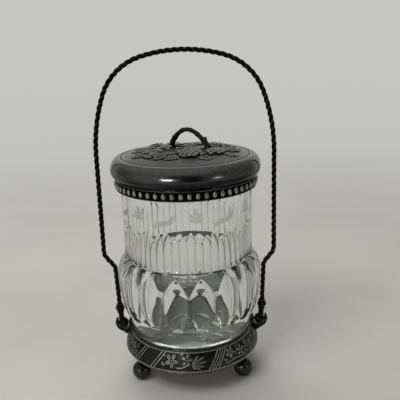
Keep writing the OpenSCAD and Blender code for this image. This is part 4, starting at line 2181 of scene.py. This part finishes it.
@dataclass
class Studio:
    """Camera, lamps, floor and backdrop.

    Attributes:
        eye: Place of the camera.
        aim: Direction that it looks in.
        right: Direction to the right of the picture.
        focal: Focal length in pixels of the photograph.
        picture: Width of the photograph in pixels.
        sensor: Width of the camera's sensor in millimetres.
        target: Height in metres of the place that the lamps point at.
        paint: Colour of the room.
        dim: Brightness of the room where none of its parts is.
        room: Parts of the room, later ones over earlier ones: angle from the front,
            height, inner and outer radius in degrees, and brightness.
    """

    eye: tuple[float, float, float] = (11.885, -486.665, 292.8)
    aim: tuple[float, float, float] = (-0.000675, 0.963844, -0.266465)
    right: tuple[float, float, float] = (0.999493, -0.007832, -0.030860)
    focal: float = 572.67
    picture: int = 400
    sensor: float = 36.0
    target: float = 0.15
    paint: str = "#fffffc"
    dim: float = 0.2
    room: tuple = (
        (180, 0, 34, 66, 0.56),
        (-120, 80, 20, 70, 0.5),
        (-48, 4, 22, 50, 0.4),
        (-2, 8, 14, 42, 0.02),
        (0, -90, 70, 88, 0.5),
    )

    def camera(self) -> None:
        """Sets the camera where the photograph was taken from."""
        data = bpy.data.cameras.new("camera")
        data.sensor_width = self.sensor
        data.lens = self.focal * self.sensor / self.picture
        data.clip_start, data.clip_end = 0.01, 20
        camera = bpy.data.objects.new("camera", data)
        bpy.context.scene.collection.objects.link(camera)
        ahead, across = Vector(self.aim).normalized(), Vector(self.right).normalized()
        above = across.cross(ahead)
        turn = Matrix((across, above, -ahead)).transposed().to_4x4()
        camera.matrix_world = Matrix.Translation(Vector(self.eye) * MM) @ turn
        bpy.context.scene.camera = camera

    @staticmethod
    def direction(turn: float, lift: float) -> Vector:
        """Unit vector at an angle from the front, right positive, and a height."""
        a, e = math.radians(turn), math.radians(lift)
        return Vector((math.sin(a) * math.cos(e), -math.cos(a) * math.cos(e), math.sin(e)))

    def lamp(
        self,
        name: str,
        direction: tuple[float, float],
        distance: float,
        size: tuple[float, float],
        power: float,
        mirrored: bool = True,
    ) -> None:
        """One soft rectangular lamp.

        Args:
            name: Its name.
            direction: Angle from the front, right positive, and height, in degrees.
            distance: Distance from the target in metres.
            size: Width and height in metres.
            power: Its power in watts.
            mirrored: Whether shiny surfaces show it.
        """
        data = bpy.data.lights.new(name, "AREA")
        data.shape = "RECTANGLE"
        data.size, data.size_y = size
        data.energy = power
        way = self.direction(*direction)
        lamp = bpy.data.objects.new(name, data)
        bpy.context.scene.collection.objects.link(lamp)
        lamp.location = Vector((0, 0, self.target)) + way * distance
        lamp.visible_glossy = mirrored
        lamp.rotation_euler = way.to_track_quat("Z", "Y").to_euler()

    def world(self) -> None:
        """A plain room for metal and glass to mirror.

        Behind the jar, overhead, on the left and below it is pale, and behind the
        camera it is dark.
        """
        g = Graph("room", world=True)
        where = g.node("TexCoord").outputs["Generated"]
        level: Link = self.dim
        for turn, lift, inner, outer, strength in self.room:
            way = tuple(self.direction(turn, lift))
            dots = g.node("VectorMath", {0: where, 1: way}, operation="DOT_PRODUCT")
            low, high = (math.cos(math.radians(a)) for a in (outer, inner))
            share = g.fade(dots.outputs["Value"], low, high)
            rest = g.math("MULTIPLY", g.math("SUBTRACT", 1.0, share), level)
            level = g.math("MULTIPLY_ADD", share, strength, rest)
        light = g.node("Background", {"Color": srgb(self.paint), "Strength": level})
        bpy.context.scene.world = g.close(light)

    def table(self) -> None:
        """A wide pale table top that fades into the room at its far edge."""
        clear_selection()
        bpy.ops.mesh.primitive_circle_add(vertices=96, radius=2.6, fill_type="TRIFAN")
        top = bpy.context.object
        top.name = top.data.name = "table_top"
        with editing(top):
            bpy.ops.mesh.subdivide(number_cuts=2)
        top.data.materials.append(TableTop().material())

    def build(self) -> None:
        """Sets up the whole studio."""
        self.camera()
        self.world()
        self.table()
        self.lamp("key", (-42, 52), 1.3, (0.6, 0.6), 8.4, mirrored=False)
        self.lamp("fill", (-165, 48), 1.5, (0.9, 0.9), 9.5, mirrored=False)
        self.lamp("left_window", (-26, 9), 1.5, (0.34, 0.16), 3.2)
        self.lamp("right_window", (47, 8), 1.6, (0.12, 0.12), 0.8)
        bpy.context.scene.view_settings.view_transform = "Standard"
        log.info("studio ready")


def main() -> None:
    """Builds the jar, piece by piece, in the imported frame."""
    logging.basicConfig(level=logging.INFO, format="%(name)s: %(message)s")
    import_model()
    dresser = Dresser()
    parts = (StandRing(), BallFeet(), Hinges(), GlassJar(), Lid(), TwigHandle(), Bail())
    for part in parts:
        part.dress(dresser)
    Studio().build()
    bpy.context.view_layer.update()


if __name__ == "__main__":
    main()
